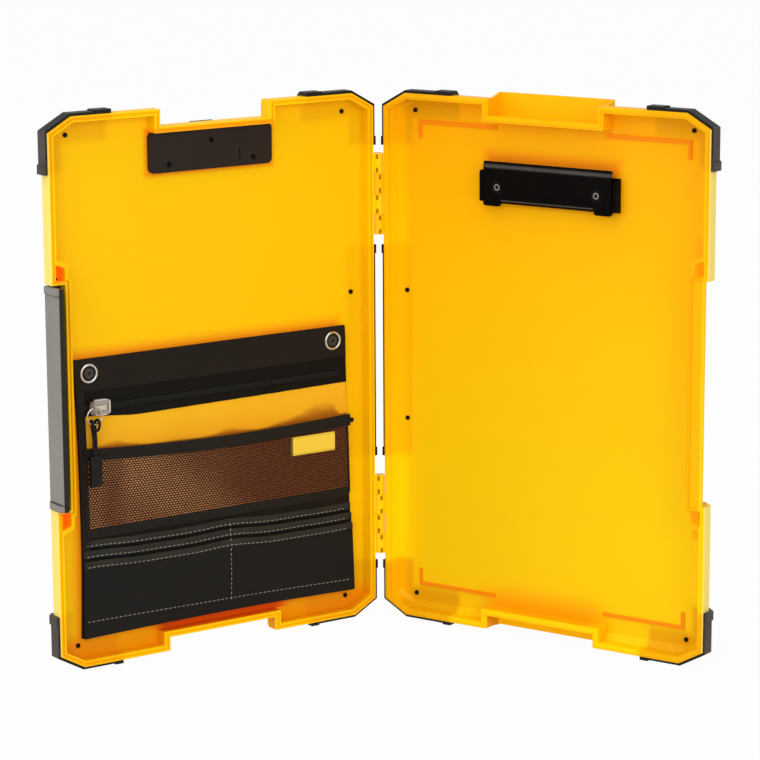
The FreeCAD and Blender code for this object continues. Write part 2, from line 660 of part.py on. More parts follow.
def clip_lever(seat_y, foot_z, length, height):
    """The sprung lever: a bent sheet with a sloped tail, a flat front, a footed jaw and two cheeks."""
    half = length / 2 - CLIP_EAR_WIDTH - CLIP_END_GAP
    x0, x1 = CENTRE_X - half, CENTRE_X + half
    pin_y, pin_z = clip_pin_place(seat_y, foot_z)
    top = foot_z + height
    front_y = seat_y - CLIP_STAND
    outside = [
        (seat_y - CLIP_TAIL_HEIGHT, top), (front_y, top - CLIP_TOP_DROP),
        (front_y, foot_z + CLIP_BEVEL), (front_y + CLIP_BEVEL, foot_z),
        (seat_y - CLIP_SHEET - CLIP_JAW_GAP, foot_z),
    ]
    sheet = profile_along_x(strip_polygon(outside, CLIP_SHEET), x0, x1)
    inside_y = front_y + CLIP_SHEET / 2
    back_y = pin_y + CLIP_PIN_RADIUS + CLIP_CHEEK_WALL
    cheek = [
        (inside_y, top - CLIP_TOP_DROP - CLIP_SHEET), (inside_y, foot_z + CLIP_BEVEL),
        (front_y + CLIP_BEVEL, foot_z + CLIP_SHEET / 2), (seat_y - 2 * CLIP_SHEET, foot_z + CLIP_SHEET / 2),
        (back_y, pin_z - CLIP_CHEEK_WALL), (back_y, pin_z + CLIP_CHEEK_WALL),
    ]
    cheeks = [profile_along_x(cheek, x0, x0 + CLIP_SHEET), profile_along_x(cheek, x1 - CLIP_SHEET, x1)]
    feet = [rounded_plate(x, x + CLIP_FOOT_RUN, front_y, front_y + 2 * CLIP_SHEET, foot_z - CLIP_FOOT_DROP,
                          foot_z + CLIP_FOOT_RISE, CLIP_FOOT_CORNER) for x in (x0, x1 - CLIP_FOOT_RUN)]
    bores = [rod(Vector(x0, pin_y, pin_z), Vector(1, 0, 0), CLIP_PIN_RADIUS + RUNNING_FIT, x1 - x0)]
    bores += [rod(Vector(x, front_y - CLIP_SHEET, pin_z), Vector(0, 1, 0),
                  CLIP_RIVET_SHANK + SCREW_CLEARANCE, 3 * CLIP_SHEET)
              for x in (x0 + CLIP_RIVET_INSET, x1 - CLIP_RIVET_INSET)]
    return fuse([sheet] + cheeks + feet).cut(Part.makeCompound(bores))


def clip_rivets(seat_y, foot_z, length):
    """Hollow rivets in the lever that hold the spring's seat behind it."""
    half = length / 2 - CLIP_EAR_WIDTH - CLIP_END_GAP - CLIP_RIVET_INSET
    pin_z = clip_pin_place(seat_y, foot_z)[1]
    front_y = seat_y - CLIP_STAND
    rivets = []
    for x in (CENTRE_X - half, CENTRE_X + half):
        head = rod(Vector(x, front_y, pin_z), Vector(0, -1, 0), CLIP_RIVET_RADIUS, CLIP_RIVET_PROUD)
        seat = Vector(x, front_y, pin_z)
        shank = rod(seat, Vector(0, 1, 0), CLIP_RIVET_SHANK, CLIP_SHEET + CLIP_RIVET_PROUD)
        bore = rod(seat - Vector(0, CLIP_RIVET_PROUD, 0), Vector(0, 1, 0), CLIP_RIVET_BORE, CLIP_SHEET)
        rivets.append(head.fuse(shank).cut(bore))
    return Part.makeCompound(rivets)


def clip_pin(seat_y, foot_z, length):
    pin_y, pin_z = clip_pin_place(seat_y, foot_z)
    return rod(Vector(CENTRE_X - length / 2, pin_y, pin_z), Vector(1, 0, 0), CLIP_PIN_RADIUS, length)


def clip_spring(seat_y, foot_z):
    """The torsion spring wound round the clip's pin, as one unbroken wire of quarter-turn arcs."""
    pin_y, pin_z = clip_pin_place(seat_y, foot_z)
    radius = CLIP_PIN_RADIUS + SPRING_PLAY + SPRING_WIRE / 2
    start_x = CENTRE_X - SPRING_TURNS * SPRING_PITCH / 2

    def point(turn):
        angle = 2 * math.pi * turn
        return Vector(start_x + turn * SPRING_PITCH,
                      pin_y + radius * math.cos(angle), pin_z + radius * math.sin(angle))

    arcs = [Part.Arc(point(k / 4), point(k / 4 + 1 / 8), point(k / 4 + 1 / 4)).toShape()
            for k in range(4 * SPRING_TURNS)]
    path = Part.Wire(arcs)
    tangent = arcs[0].tangentAt(arcs[0].FirstParameter)
    ring = Part.Wire(Part.makeCircle(SPRING_WIRE / 2, point(0), tangent))
    print("spring: gap between turns", round(SPRING_PITCH - SPRING_WIRE, 3))
    return path.makePipeShell([ring], True, False)


def clip_fixings(seat_y, foot_z):
    """Rivets that hold the plate of the base clip to the panel, headed on both sides."""
    z = foot_z + CLIP_PIN_RISE
    rivets = []
    for side in (-1, 1):
        x = CENTRE_X + side * FIXING_SPACING / 2
        shank = rod(Vector(x, seat_y - CLIP_SHEET, z), Vector(0, 1, 0), FIXING_RADIUS, CLIP_SHEET + WALL)
        near = rod(Vector(x, seat_y - CLIP_SHEET, z), Vector(0, -1, 0), FIXING_HEAD_RADIUS, FIXING_HEAD)
        far = rod(Vector(x, seat_y + WALL, z), Vector(0, 1, 0), FIXING_HEAD_RADIUS, FIXING_HEAD)
        rivets.append(fuse([shank, near, far]))
    return Part.makeCompound(rivets)


def thumb_tab(seat_y, foot_z, height):
    """The thumb tab that stands up from the middle of the outer clip's tail."""
    top = foot_z + height
    front_y = seat_y - CLIP_STAND
    rise = THUMB_TAB_RISE
    root_z = top - CLIP_TOP_DROP - CLIP_SHEET
    points = [(front_y, root_z), (front_y - rise / 2, top + rise),
              (front_y - rise / 2 + CLIP_SHEET, top + rise), (front_y + CLIP_SHEET, root_z)]
    tab = profile_along_x(points, CENTRE_X - THUMB_TAB_WIDTH / 2, CENTRE_X + THUMB_TAB_WIDTH / 2)
    corners = [e for e in tab.Edges if e.Length < 2 * CLIP_SHEET and min(v.Z for v in e.Vertexes) > top]
    return tab.makeFillet(rise / 2, corners)


def backing_screw_places():
    top = CASE_HEIGHT - BACKING_DROP
    spread = BACKING_SCREW_SPREAD / 2
    return [(CENTRE_X, top - BACKING_SCREW_HIGH), (CENTRE_X - spread, top - BACKING_SCREW_LOW),
            (CENTRE_X + spread, top - BACKING_SCREW_LOW)]


def backing_bores():
    radius = FIXING_RADIUS + SCREW_CLEARANCE
    return [rod(Vector(x, LID_PANEL_Y + FAR / 2, z), Vector(0, -1, 0), radius, FAR)
            for x, z in backing_screw_places()]


def backing_plate():
    """The rounded plate inside the lid that spreads the pull of the outer clip's screws."""
    top = CASE_HEIGHT - BACKING_DROP
    x0, x1 = CENTRE_X - BACKING_WIDTH / 2, CENTRE_X + BACKING_WIDTH / 2
    face_y = LID_PANEL_Y + BACKING_THICK
    plate = rounded_plate(x0, x1, LID_PANEL_Y, face_y, top - BACKING_HEIGHT, top, BACKING_CORNER)
    slit_x, slit_top = CENTRE_X - BACKING_SLIT_OFFSET, top - BACKING_SLIT_TOP
    slit = cuboid(slit_x, slit_x + BACKING_SLIT_WIDTH, face_y - BACKING_SLIT_DEPTH, face_y,
                  slit_top - BACKING_SLIT_LENGTH, slit_top)
    sinks = [rod(Vector(x, face_y, z), Vector(0, -1, 0), FIXING_HEAD_RADIUS - FIXING_RADIUS / 2, FIXING_HEAD)
             for x, z in backing_screw_places()]
    return plate.cut(Part.makeCompound([slit] + sinks + backing_bores()))


def backing_screws():
    """Sunk screws that run from the backing plate through the lid into the outer clip's plate."""
    face_y = LID_PANEL_Y + BACKING_THICK
    head_radius = FIXING_HEAD_RADIUS - FIXING_RADIUS / 2 - SCREW_CLEARANCE
    screws = []
    for x, z in backing_screw_places():
        seat = Vector(x, face_y - FIXING_HEAD, z)
        head = rod(seat, Vector(0, 1, 0), head_radius, FIXING_HEAD / 2)
        shank = rod(seat, Vector(0, -1, 0), FIXING_RADIUS, BACKING_THICK - FIXING_HEAD + WALL + CLIP_SHEET)
        socket = rod(seat + Vector(0, FIXING_HEAD / 2, 0), Vector(0, -1, 0), FIXING_RADIUS / 2, FIXING_HEAD)
        screws.append(head.fuse(shank).cut(socket))
    return Part.makeCompound(screws)


def pouch_spine_x(z):
    """The slanted spine-side edge of the pouch at a height."""
    share = (z - POUCH_BOTTOM) / POUCH_HEIGHT
    return HINGE_OFFSET + POUCH_SPINE_INSET_FOOT + share * (POUCH_SPINE_INSET_TOP - POUCH_SPINE_INSET_FOOT)


def pouch_panel(z0, z1, margin, y0, y1):
    """A flat layer of the pouch between two heights, set in from its side edges."""
    points = [(pouch_spine_x(z0) + margin, z0), (POUCH_OUTER_X - margin, z0),
              (POUCH_OUTER_X - margin, z1), (pouch_spine_x(z1) + margin, z1)]
    return prism(points, y0, y1)


def stud_places():
    z = POUCH_TOP - GROMMET_DROP
    return [(pouch_spine_x(z) + GROMMET_INSET_SPINE, z), (POUCH_OUTER_X - GROMMET_INSET_OUTER, z)]


def grommet_bores():
    """Holes through the cloth that take the barrels of the grommets."""
    radius = GROMMET_BORE + GROMMET_PROUD
    return Part.makeCompound([rod(Vector(x, POUCH_BACK_Y, z), Vector(0, 1, 0), radius, 2 * CLOTH)
                              for x, z in stud_places()])


def pouch_grommets():
    """Eyelets: a rolled ring on the face of the flap and a barrel through both cloths."""
    rings = []
    for x, z in stud_places():
        front = Vector(x, POUCH_FRONT_Y + CLOTH, z)
        middle = (GROMMET_RADIUS + GROMMET_BORE) / 2
        roll = Part.makeTorus(middle, GROMMET_RADIUS - middle, front, Vector(0, 1, 0))
        roll = roll.common(rod(front, Vector(0, 1, 0), 2 * GROMMET_RADIUS, GROMMET_PROUD))
        barrel = rod(Vector(x, POUCH_BACK_Y, z), Vector(0, 1, 0), GROMMET_BORE + GROMMET_PROUD, 2 * CLOTH)
        bore = rod(Vector(x, POUCH_BACK_Y - CLOTH, z), Vector(0, 1, 0), GROMMET_BORE, 6 * CLOTH)
        rings.append(fuse([roll, barrel]).cut(bore))
    return Part.makeCompound(rings)


def pouch_studs():
    """Push-in studs in the lid panel, one through each grommet, with a domed head."""
    studs = []
    for x, z in stud_places():
        tip_y = POUCH_FRONT_Y + CLOTH + STUD_HEAD_PROUD
        radius = GROMMET_BORE - STUD_PLAY
        head = rod(Vector(x, LID_PANEL_Y, z), Vector(0, 1, 0), radius, tip_y - LID_PANEL_Y)
        tip = [e for e in head.Edges if e.Closed and e.Vertexes[0].Y > LID_PANEL_Y]
        stem = rod(Vector(x, LID_PANEL_Y, z), Vector(0, -1, 0), STUD_STEM_RADIUS, WALL)
        studs.append(head.makeFillet(STUD_HEAD_PROUD, tip).fuse(stem))
    return Part.makeCompound(studs)


def pouch_back():
    return pouch_panel(POUCH_BOTTOM, POUCH_TOP, 0, POUCH_BACK_Y, POUCH_FRONT_Y).cut(grommet_bores())


def pouch_flap():
    flap = pouch_panel(POUCH_TOP - FLAP_HEIGHT, POUCH_TOP, 0, POUCH_FRONT_Y, POUCH_FRONT_Y + CLOTH)
    return flap.cut(grommet_bores())


def zip_tape():
    top = POUCH_TOP - FLAP_HEIGHT
    return pouch_panel(top - ZIP_BAND, top, 0, POUCH_FRONT_Y, POUCH_FRONT_Y + CLOTH)


def zip_teeth():
    y0 = POUCH_FRONT_Y + CLOTH
    half = ZIP_TEETH_WIDTH / 2
    return pouch_panel(ZIP_Z - half, ZIP_Z + half, SIDE_MARGIN, y0, y0 + ZIP_TEETH_THICK)


def band_panel():
    """The coloured front of the zipped pocket, which also shows through the mesh."""
    top = POUCH_TOP - FLAP_HEIGHT - ZIP_BAND
    return pouch_panel(top - BAND_HEIGHT, top, 0, POUCH_FRONT_Y, POUCH_FRONT_Y + CLOTH)


def band_front_y():
    return POUCH_FRONT_Y + CLOTH


def mesh_pocket():
    low, high = POUCH_TOP - MESH_DROP - MESH_HEIGHT, POUCH_TOP - MESH_DROP - BINDING_HEIGHT
    return pouch_panel(low, high, SIDE_MARGIN / 2, band_front_y(), band_front_y() + MESH_THICK)


def mesh_binding():
    high = POUCH_TOP - MESH_DROP
    return pouch_panel(high - BINDING_HEIGHT, high, SIDE_MARGIN / 2, band_front_y(),
                       band_front_y() + MESH_THICK + BINDING_PROUD)


def pen_pocket(layer):
    """One of the stepped pen pockets: each lies on the last and stops a step lower."""
    top = POUCH_TOP - PEN_POCKET_DROP - layer * PEN_POCKET_STEP
    y0 = POUCH_FRONT_Y + layer * CLOTH
    return pouch_panel(POUCH_BOTTOM, top, 0, y0, y0 + CLOTH)


def pouch_label():
    """A bare woven tab sewn on to the mesh pocket."""
    top = POUCH_TOP - MESH_DROP - LABEL_DROP
    x0 = pouch_spine_x(top) + LABEL_INSET
    y0 = band_front_y() + MESH_THICK
    return cuboid(x0, x0 + LABEL_WIDTH, y0, y0 + LABEL_THICK, top - LABEL_HEIGHT, top)


def slider_x():
    return POUCH_OUTER_X - SLIDER_START


def slider_front_y():
    return POUCH_FRONT_Y + CLOTH + ZIP_TEETH_THICK + SLIDER_GAP + SLIDER_THICK


def zip_slider():
    """The slider: a plate over the teeth with two side rails and an arched eye for the pull."""
    x, front_y = slider_x(), slider_front_y()
    half_length, half_width = SLIDER_LENGTH / 2, SLIDER_WIDTH / 2
    back_y = front_y - SLIDER_THICK
    right = [(x - half_length, SLIDER_TAIL_WIDTH / 2), (x - half_length / 2, half_width),
             (x + half_length / 4, half_width), (x + half_length, SLIDER_NOSE_WIDTH / 2)]
    outline = [(px, ZIP_Z + side) for px, side in right] + [(px, ZIP_Z - side) for px, side in reversed(right)]
    plate = prism(outline, back_y, front_y)
    upright = [e for e in plate.Edges if abs(e.Vertexes[0].Y - e.Vertexes[1].Y) > SLIDER_THICK / 2]
    plate = plate.makeFillet(SLIDER_CORNER, upright)
    rail = ZIP_TEETH_WIDTH / 2 + SLIDER_GAP
    rail_y = POUCH_FRONT_Y + CLOTH + SLIDER_GAP
    rails = [cuboid(x - half_length / 2, x + half_length / 2, rail_y, front_y - SLIDER_THICK / 2, *heights)
             for heights in ((ZIP_Z + rail, ZIP_Z + half_width), (ZIP_Z - half_width, ZIP_Z - rail))]
    eye_radius = pull_plane_y() - front_y + PULL_RING_WIRE + SLIDER_GAP + EYE_WIRE
    eye = Part.makeTorus(eye_radius, EYE_WIRE, Vector(x + EYE_OFFSET, front_y, ZIP_Z), Vector(1, 0, 0))
    eye = eye.common(cuboid(x, x + SLIDER_LENGTH, back_y, FAR, ZIP_Z - SLIDER_LENGTH, ZIP_Z + SLIDER_LENGTH))
    return fuse([plate, eye] + rails)


def pull_loop_radius():
    """How far the cord's middle stays from the middle of the ring's wire."""
    return PULL_RING_WIRE + SLIDER_GAP + PULL_CORD_WIDTH / 2


def pull_plane_y():
    """The depth of the pull's own plane, in front of everything that it swings across."""
    hindmost = pull_loop_radius() + PULL_CORD_WIDTH / 2
    over_pouch = band_front_y() + MESH_THICK + max(LABEL_THICK, BINDING_PROUD) + PULL_STANDOFF + hindmost
    return max(over_pouch, slider_front_y() + PULL_RING_WIRE + SLIDER_GAP)


def pull_pivot():
    return Vector(slider_x() + EYE_OFFSET, pull_plane_y(), ZIP_Z + PULL_RISE)


def pull_ring():
    """The steel ring that hangs in the slider's eye."""
    return Part.makeTorus(PULL_RING_RADIUS, PULL_RING_WIRE, pull_pivot() - Vector(0, 0, PULL_RING_RADIUS),
                          Vector(0, 1, 0))


def pull_ring_foot():
    return pull_pivot() - Vector(0, 0, 2 * PULL_RING_RADIUS)


def pull_cord():
    """The doubled cord: up behind the foot of the ring, over its wire and down in front."""
    crown = pull_ring_foot()
    radius = pull_loop_radius()
    spread = (PULL_CORD_WIDTH + PULL_CORD_PARTING) / 2
    lean = math.atan2(PULL_CORD_LENGTH, spread) - math.acos(radius / math.hypot(spread, PULL_CORD_LENGTH))
    touch_y, touch_z = radius * math.cos(lean), radius * math.sin(lean)
    rear, front = crown - Vector(0, touch_y, touch_z), crown + Vector(0, touch_y, -touch_z)
    tail_rear = crown - Vector(0, spread, PULL_CORD_LENGTH)
    tail_front = crown + Vector(0, spread, -PULL_CORD_LENGTH)
    path = Part.Wire([
        Part.LineSegment(tail_rear, rear).toShape(),
        Part.Arc(rear, crown + Vector(0, 0, radius), front).toShape(),
        Part.LineSegment(front, tail_front).toShape(),
    ])
    ring = Part.Wire(Part.makeCircle(PULL_CORD_WIDTH / 2, tail_rear, rear - tail_rear))
    print("pull cord: gap between its runs", PULL_CORD_PARTING, "length", round(path.Length, 1))
    return path.makePipeShell([ring], True, False, 1)


def pull_tab():
    """The moulded tab at the end of the cord."""
    crown = pull_ring_foot()
    top = crown.z - PULL_CORD_LENGTH
    half, thick = PULL_TAB_WIDTH / 2, PULL_TAB_THICK / 2
    return rounded_plate(crown.x - half, crown.x + half, crown.y - thick, crown.y + thick,
                         top - PULL_TAB_LENGTH, top, PULL_TAB_CORNER)


def base_nodes():
    """Every piece that belongs to the base, by name."""
    clip = (BASE_PANEL_Y, BASE_CLIP_FOOT_Z, BASE_CLIP_LENGTH, BASE_CLIP_HEIGHT)
    seat, foot, length, _ = clip
    lower_pin, upper_pin = hinge_pins()
    return {
        "base_shell": base_shell(),
        "base_bumper_spine_top": corner_bumper(BASE, True, True),
        "base_bumper_spine_bottom": corner_bumper(BASE, True, False),
        "base_bumper_outer_top": corner_bumper(BASE, False, True),
        "base_bumper_outer_bottom": corner_bumper(BASE, False, False),
        "base_spine_strip": spine_strip(BASE, BASE_STRIP_WRAP),
        "base_bumper_screws": bumper_screws(BASE),
        "hinge_pin_upper": upper_pin,
        "hinge_pin_lower": lower_pin,
        "paper_clip_plate": clip_plate(*clip, clip_bores(seat, foot)),
        "paper_clip_lever": clip_lever(*clip),
        "paper_clip_rivets": clip_rivets(seat, foot, length),
        "paper_clip_pin": clip_pin(seat, foot, length),
        "paper_clip_spring": clip_spring(seat, foot),
        "paper_clip_fixings": clip_fixings(seat, foot),
    }


def lid_nodes():
    """Every piece that belongs to the lid, by name."""
    clip = (-LID_DEPTH, LID_CLIP_FOOT_Z, LID_CLIP_LENGTH, LID_CLIP_HEIGHT)
    seat, foot, length, height = clip
    nodes = {
        "lid_shell": lid_shell(),
        "lid_bumper_spine_top": corner_bumper(LID, True, True),
        "lid_bumper_spine_bottom": corner_bumper(LID, True, False),
        "lid_bumper_outer_top": corner_bumper(LID, False, True),
        "lid_bumper_outer_bottom": corner_bumper(LID, False, False),
        "lid_spine_strip": spine_strip(LID, LID_STRIP_WRAP),
        "lid_bumper_screws": bumper_screws(LID),
        "latch": latch(),
        "latch_pin": latch_pin(),
        "lid_clip_plate": clip_plate(*clip, backing_bores()),
        "lid_clip_lever": fuse([clip_lever(*clip), thumb_tab(seat, foot, height)]),
        "lid_clip_rivets": clip_rivets(seat, foot, length),
        "lid_clip_pin": clip_pin(seat, foot, length),
        "lid_clip_spring": clip_spring(seat, foot),
        "clip_backing_plate": backing_plate(),
        "clip_backing_screws": backing_screws(),
        "pouch_back": pouch_back(),
        "pouch_flap": pouch_flap(),
        "pouch_grommets": pouch_grommets(),
        "pouch_studs": pouch_studs(),
        "zip_tape": zip_tape(),
        "zip_teeth": zip_teeth(),
        "pouch_band": band_panel(),
        "mesh_pocket": mesh_pocket(),
        "mesh_binding": mesh_binding(),
        "pouch_label": pouch_label(),
        "zip_slider": zip_slider(),
        "pull_ring": pull_ring(),
        "pull_cord": pull_cord(),
        "pull_tab": pull_tab(),
    }
    names = ["pen_pocket_back", "pen_pocket_middle", "pen_pocket_front"]
    for layer in range(PEN_POCKET_LAYERS):
        nodes[names[layer]] = pen_pocket(layer)
    return nodes


def main():
    os.makedirs("parts", exist_ok=True)
    swing = FreeCAD.Placement(Vector(0, 0, 0), FreeCAD.Rotation(Vector(0, 0, 1), -OPEN_ANGLE))
    nodes = base_nodes()
    for name, shape in lid_nodes().items():
        shape.Placement = swing.multiply(shape.Placement)
        nodes[name] = shape
    box = FreeCAD.BoundBox()
    for shape in nodes.values():
        box.add(shape.BoundBox)
    to_frame = Vector(-box.Center.x, -box.Center.y, -box.ZMin)
    for name, shape in nodes.items():
        shape.translate(to_frame)
        volume = round(sum(solid.Volume for solid in shape.Solids), 1)
        print(name, "solids", len(shape.Solids), "volume", volume, "valid", shape.isValid())
        shape.exportStep(os.path.join("parts", name + ".step"))
    axes = {
        "hinge": Vector(0, 0, 0),
        "latch": swing.multVec(Vector(LATCH_PIN_X, -LATCH_PIN_DEPTH, MIDDLE_Z)),
        "paper_clip": Vector(CENTRE_X, *clip_pin_place(BASE_PANEL_Y, BASE_CLIP_FOOT_Z)),
        "lid_clip": swing.multVec(Vector(CENTRE_X, *clip_pin_place(-LID_DEPTH, LID_CLIP_FOOT_Z))),
        "pull": swing.multVec(pull_pivot()),
    }
    for name, place in axes.items():
        print("axis", name, [round(v, 3) for v in place + to_frame])
    print("box", round(box.XLength, 2), round(box.YLength, 2), round(box.ZLength, 2))


main()
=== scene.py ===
import json
import math

import bpy
from mathutils import Matrix, Vector


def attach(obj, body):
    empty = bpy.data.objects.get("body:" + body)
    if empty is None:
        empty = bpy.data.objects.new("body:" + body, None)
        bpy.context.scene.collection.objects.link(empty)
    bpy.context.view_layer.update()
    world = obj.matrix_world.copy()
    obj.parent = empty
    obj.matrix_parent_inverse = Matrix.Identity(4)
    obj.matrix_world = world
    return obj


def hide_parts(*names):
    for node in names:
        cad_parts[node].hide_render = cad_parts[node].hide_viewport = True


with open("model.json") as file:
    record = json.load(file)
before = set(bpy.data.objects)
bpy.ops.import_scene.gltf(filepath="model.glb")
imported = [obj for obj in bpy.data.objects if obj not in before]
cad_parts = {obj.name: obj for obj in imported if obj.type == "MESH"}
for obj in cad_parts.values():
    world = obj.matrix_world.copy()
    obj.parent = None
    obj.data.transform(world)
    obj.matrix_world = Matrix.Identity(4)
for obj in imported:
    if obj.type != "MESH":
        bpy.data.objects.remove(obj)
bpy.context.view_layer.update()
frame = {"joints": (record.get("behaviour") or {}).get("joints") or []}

# Studio: a white paper sweep under four soft area lamps, as in a catalogue picture. The camera
# stands to the right of the open case, a little above its middle, with a long lens.
CAMERA_PLACE, CAMERA_LENS, CAMERA_SENSOR = (1.17822, -1.76693, 0.65627), 146.6, 36.0
PAN, TILT, ROLL = (math.radians(angle) for angle in (33.72, 78.168, -0.287))
SWEEP_SIZE = 14.0
SWEEP_WHITE = 0.96
WORLD_LEVEL = 0.5
LAMPS = (
    ("overhead", (-0.2, -1.0, 3.0), 2.2, 30.0),
    ("left", (-2.2, -1.6, 1.0), 1.6, 16.0),
    ("right", (2.6, -1.0, 1.2), 1.6, 22.0),
    ("front", (0.6, -3.2, 1.6), 2.0, 24.0),
)
LAMP_AIM = Vector((0, 0, 0.2))
WHITE = (1.0, 1.0, 1.0, 1.0)


class Socket:
    """One output of a finish's nodes; sums and products of sockets add Math nodes."""

    def __init__(self, tree, output):
        self.tree = tree
        self.output = output

    def math(self, operation, left, right=0.0):
        node = self.tree.nodes.new("ShaderNodeMath")
        node.operation = operation
        for slot, value in zip(node.inputs, (left, right)):
            if isinstance(value, Socket):
                self.tree.links.new(value.output, slot)
            else:
                slot.default_value = value
        return Socket(self.tree, node.outputs[0])

    def __add__(self, other):
        return self.math("ADD", self, other)

    def __radd__(self, other):
        return self.math("ADD", other, self)

    def __sub__(self, other):
        return self.math("SUBTRACT", self, other)

    def __rsub__(self, other):
        return self.math("SUBTRACT", other, self)

    def __mul__(self, other):
        return self.math("MULTIPLY", self, other)

    def __truediv__(self, other):
        return self.math("DIVIDE", self, other)

    def __gt__(self, other):
        return self.math("GREATER_THAN", self, other)

    def __abs__(self):
        return self.math("ABSOLUTE", self)

    def highest(self, other):
        return self.math("MAXIMUM", self, other)

    def lowest(self, other):
        return self.math("MINIMUM", self, other)

    def sine(self):
        return self.math("SINE", self)

    def whole(self):
        return self.math("FLOOR", self)

    def part(self):
        return self.math("FRACT", self)


class Finish:
    """A material whose nodes are added by one method."""

    def __init__(self, name, tree=None):
        self.material = None
        self.tree = tree
        if tree is None:
            self.material = bpy.data.materials.new(name)
            self.material.use_nodes = True
            self.tree = self.material.node_tree
        self.shader = self.tree.nodes.get("Principled BSDF")

    def node(self, kind, settings=None, sockets=None, out=0):
        node = self.tree.nodes.new(kind)
        for key, value in (settings or {}).items():
            setattr(node, key, value)
        for key, value in (sockets or {}).items():
            if isinstance(value, Socket):
                self.tree.links.new(value.output, node.inputs[key])
            else:
                node.inputs[key].default_value = value
        return Socket(self.tree, node.outputs[out])

    def shade(self, **values):
        """Sets or links the shader's sockets, whose spaces are written as underscores."""
        for key, value in values.items():
            slot = self.shader.inputs[key.replace("_", " ")]
            if isinstance(value, Socket):
                self.tree.links.new(value.output, slot)
            else:
                slot.default_value = value

    def mix(self, share, first, second):
        return self.node("ShaderNodeMix", {"data_type": "RGBA"}, {0: share, 6: first, 7: second}, 2)

    def ramp(self, value, low, high):
        return self.node("ShaderNodeMapRange", {"interpolation_type": "SMOOTHSTEP"},
                         {"Value": value, "From Min": low, "From Max": high})

    def band(self, value, low, high, soft):
        return self.ramp(value, low - soft, low + soft) * (1 - self.ramp(value, high - soft, high + soft))

    def noise(self, place, scale, detail=2.0, roughness=0.5):
        return self.node("ShaderNodeTexNoise", {},
                         {"Vector": place, "Scale": scale, "Detail": detail, "Roughness": roughness})

    def stretched(self, place, scale):
        return self.node("ShaderNodeMapping", {"vector_type": "POINT"}, {"Vector": place, "Scale": scale})

    def bump(self, height, distance):
        return self.node("ShaderNodeBump", {}, {"Height": height, "Distance": distance, "Strength": 1.0})

    def place(self):
        return self.node("ShaderNodeTexCoord", {}, {}, "Object")

    def rays(self):
        """The camera's, the glossy and the transmitted rays, each one or nought."""
        return [self.node("ShaderNodeLightPath", {}, {}, f"Is {kind} Ray")
                for kind in ("Camera", "Glossy", "Transmission")]

    def chart(self):
        """A cloth's own map, and its two parts: metres outwards and upwards."""
        chart = self.node("ShaderNodeUVMap")
        return chart, *(self.node("ShaderNodeSeparateXYZ", {}, {0: chart}, part) for part in (0, 1))

    def along(self, place, start, direction):
        """The distance from a point along a direction."""
        offset = self.node("ShaderNodeVectorMath", {"operation": "SUBTRACT"}, {0: place, 1: start})
        return self.node("ShaderNodeVectorMath", {"operation": "DOT_PRODUCT"}, {0: offset, 1: direction}, 1)


def srgb(red, green, blue):
    """A screen colour as the linear one that a shader takes."""
    parts = [value / 255 for value in (red, green, blue)]
    return tuple(p / 12.92 if p < 0.04045 else ((p + 0.055) / 1.055) ** 2.4 for p in parts) + (1.0,)


bpy.ops.object.select_all(action="DESELECT")
camera_turn = Matrix.Rotation(PAN, 3, "Z") @ Matrix.Rotation(TILT, 3, "X") @ Matrix.Rotation(ROLL, 3, "Z")
bpy.ops.object.camera_add(location=CAMERA_PLACE, rotation=camera_turn.to_euler())
camera = bpy.context.object
camera.data.sensor_width = CAMERA_SENSOR
camera.data.lens = CAMERA_LENS
bpy.context.scene.camera = camera
bpy.context.scene.view_settings.view_transform = "Standard"

bpy.ops.mesh.primitive_plane_add(size=SWEEP_SIZE, location=(0, 0, 0))
floor = bpy.context.object
floor.name = "floor"
sweep = Finish("white_sweep")
camera_ray, glossy_ray, clear_ray = sweep.rays()
sweep_seen = camera_ray.highest(glossy_ray).highest(clear_ray)
paper = sweep.noise(sweep.place(), 3.0)
sweep.shade(Base_Color=sweep.mix(paper * 0.1, srgb(232, 232, 233), srgb(226, 226, 226)), Roughness=0.8)
glow = sweep.node("ShaderNodeEmission", {}, {"Color": WHITE, "Strength": 1.0})
surface = Socket(sweep.tree, sweep.shader.outputs[0])
blend = sweep.node("ShaderNodeMixShader", {}, {0: sweep_seen * SWEEP_WHITE, 1: surface, 2: glow})
sweep.tree.links.new(blend.output, sweep.tree.nodes["Material Output"].inputs["Surface"])
floor.data.materials.append(sweep.material)

world = bpy.data.worlds.new("studio")
world.use_nodes = True
bpy.context.scene.world = world
sky = Finish("studio", world.node_tree)
camera_ray, glossy_ray, clear_ray = sky.rays()
seen = camera_ray.highest(glossy_ray * 0.8).highest(clear_ray)
sky_background = sky.tree.nodes["Background"]
sky_background.inputs["Color"].default_value = WHITE
sky_strength = WORLD_LEVEL + seen * (1 - WORLD_LEVEL)
sky.tree.links.new(sky_strength.output, sky_background.inputs["Strength"])

for name, place, size, power in LAMPS:
    bpy.ops.object.light_add(type="AREA", location=place)
    lamp = bpy.context.object
    lamp.name = name
    lamp.data.size = size
    lamp.data.energy = power
    lamp.rotation_euler = (LAMP_AIM - Vector(place)).to_track_quat("-Z", "Y").to_euler()

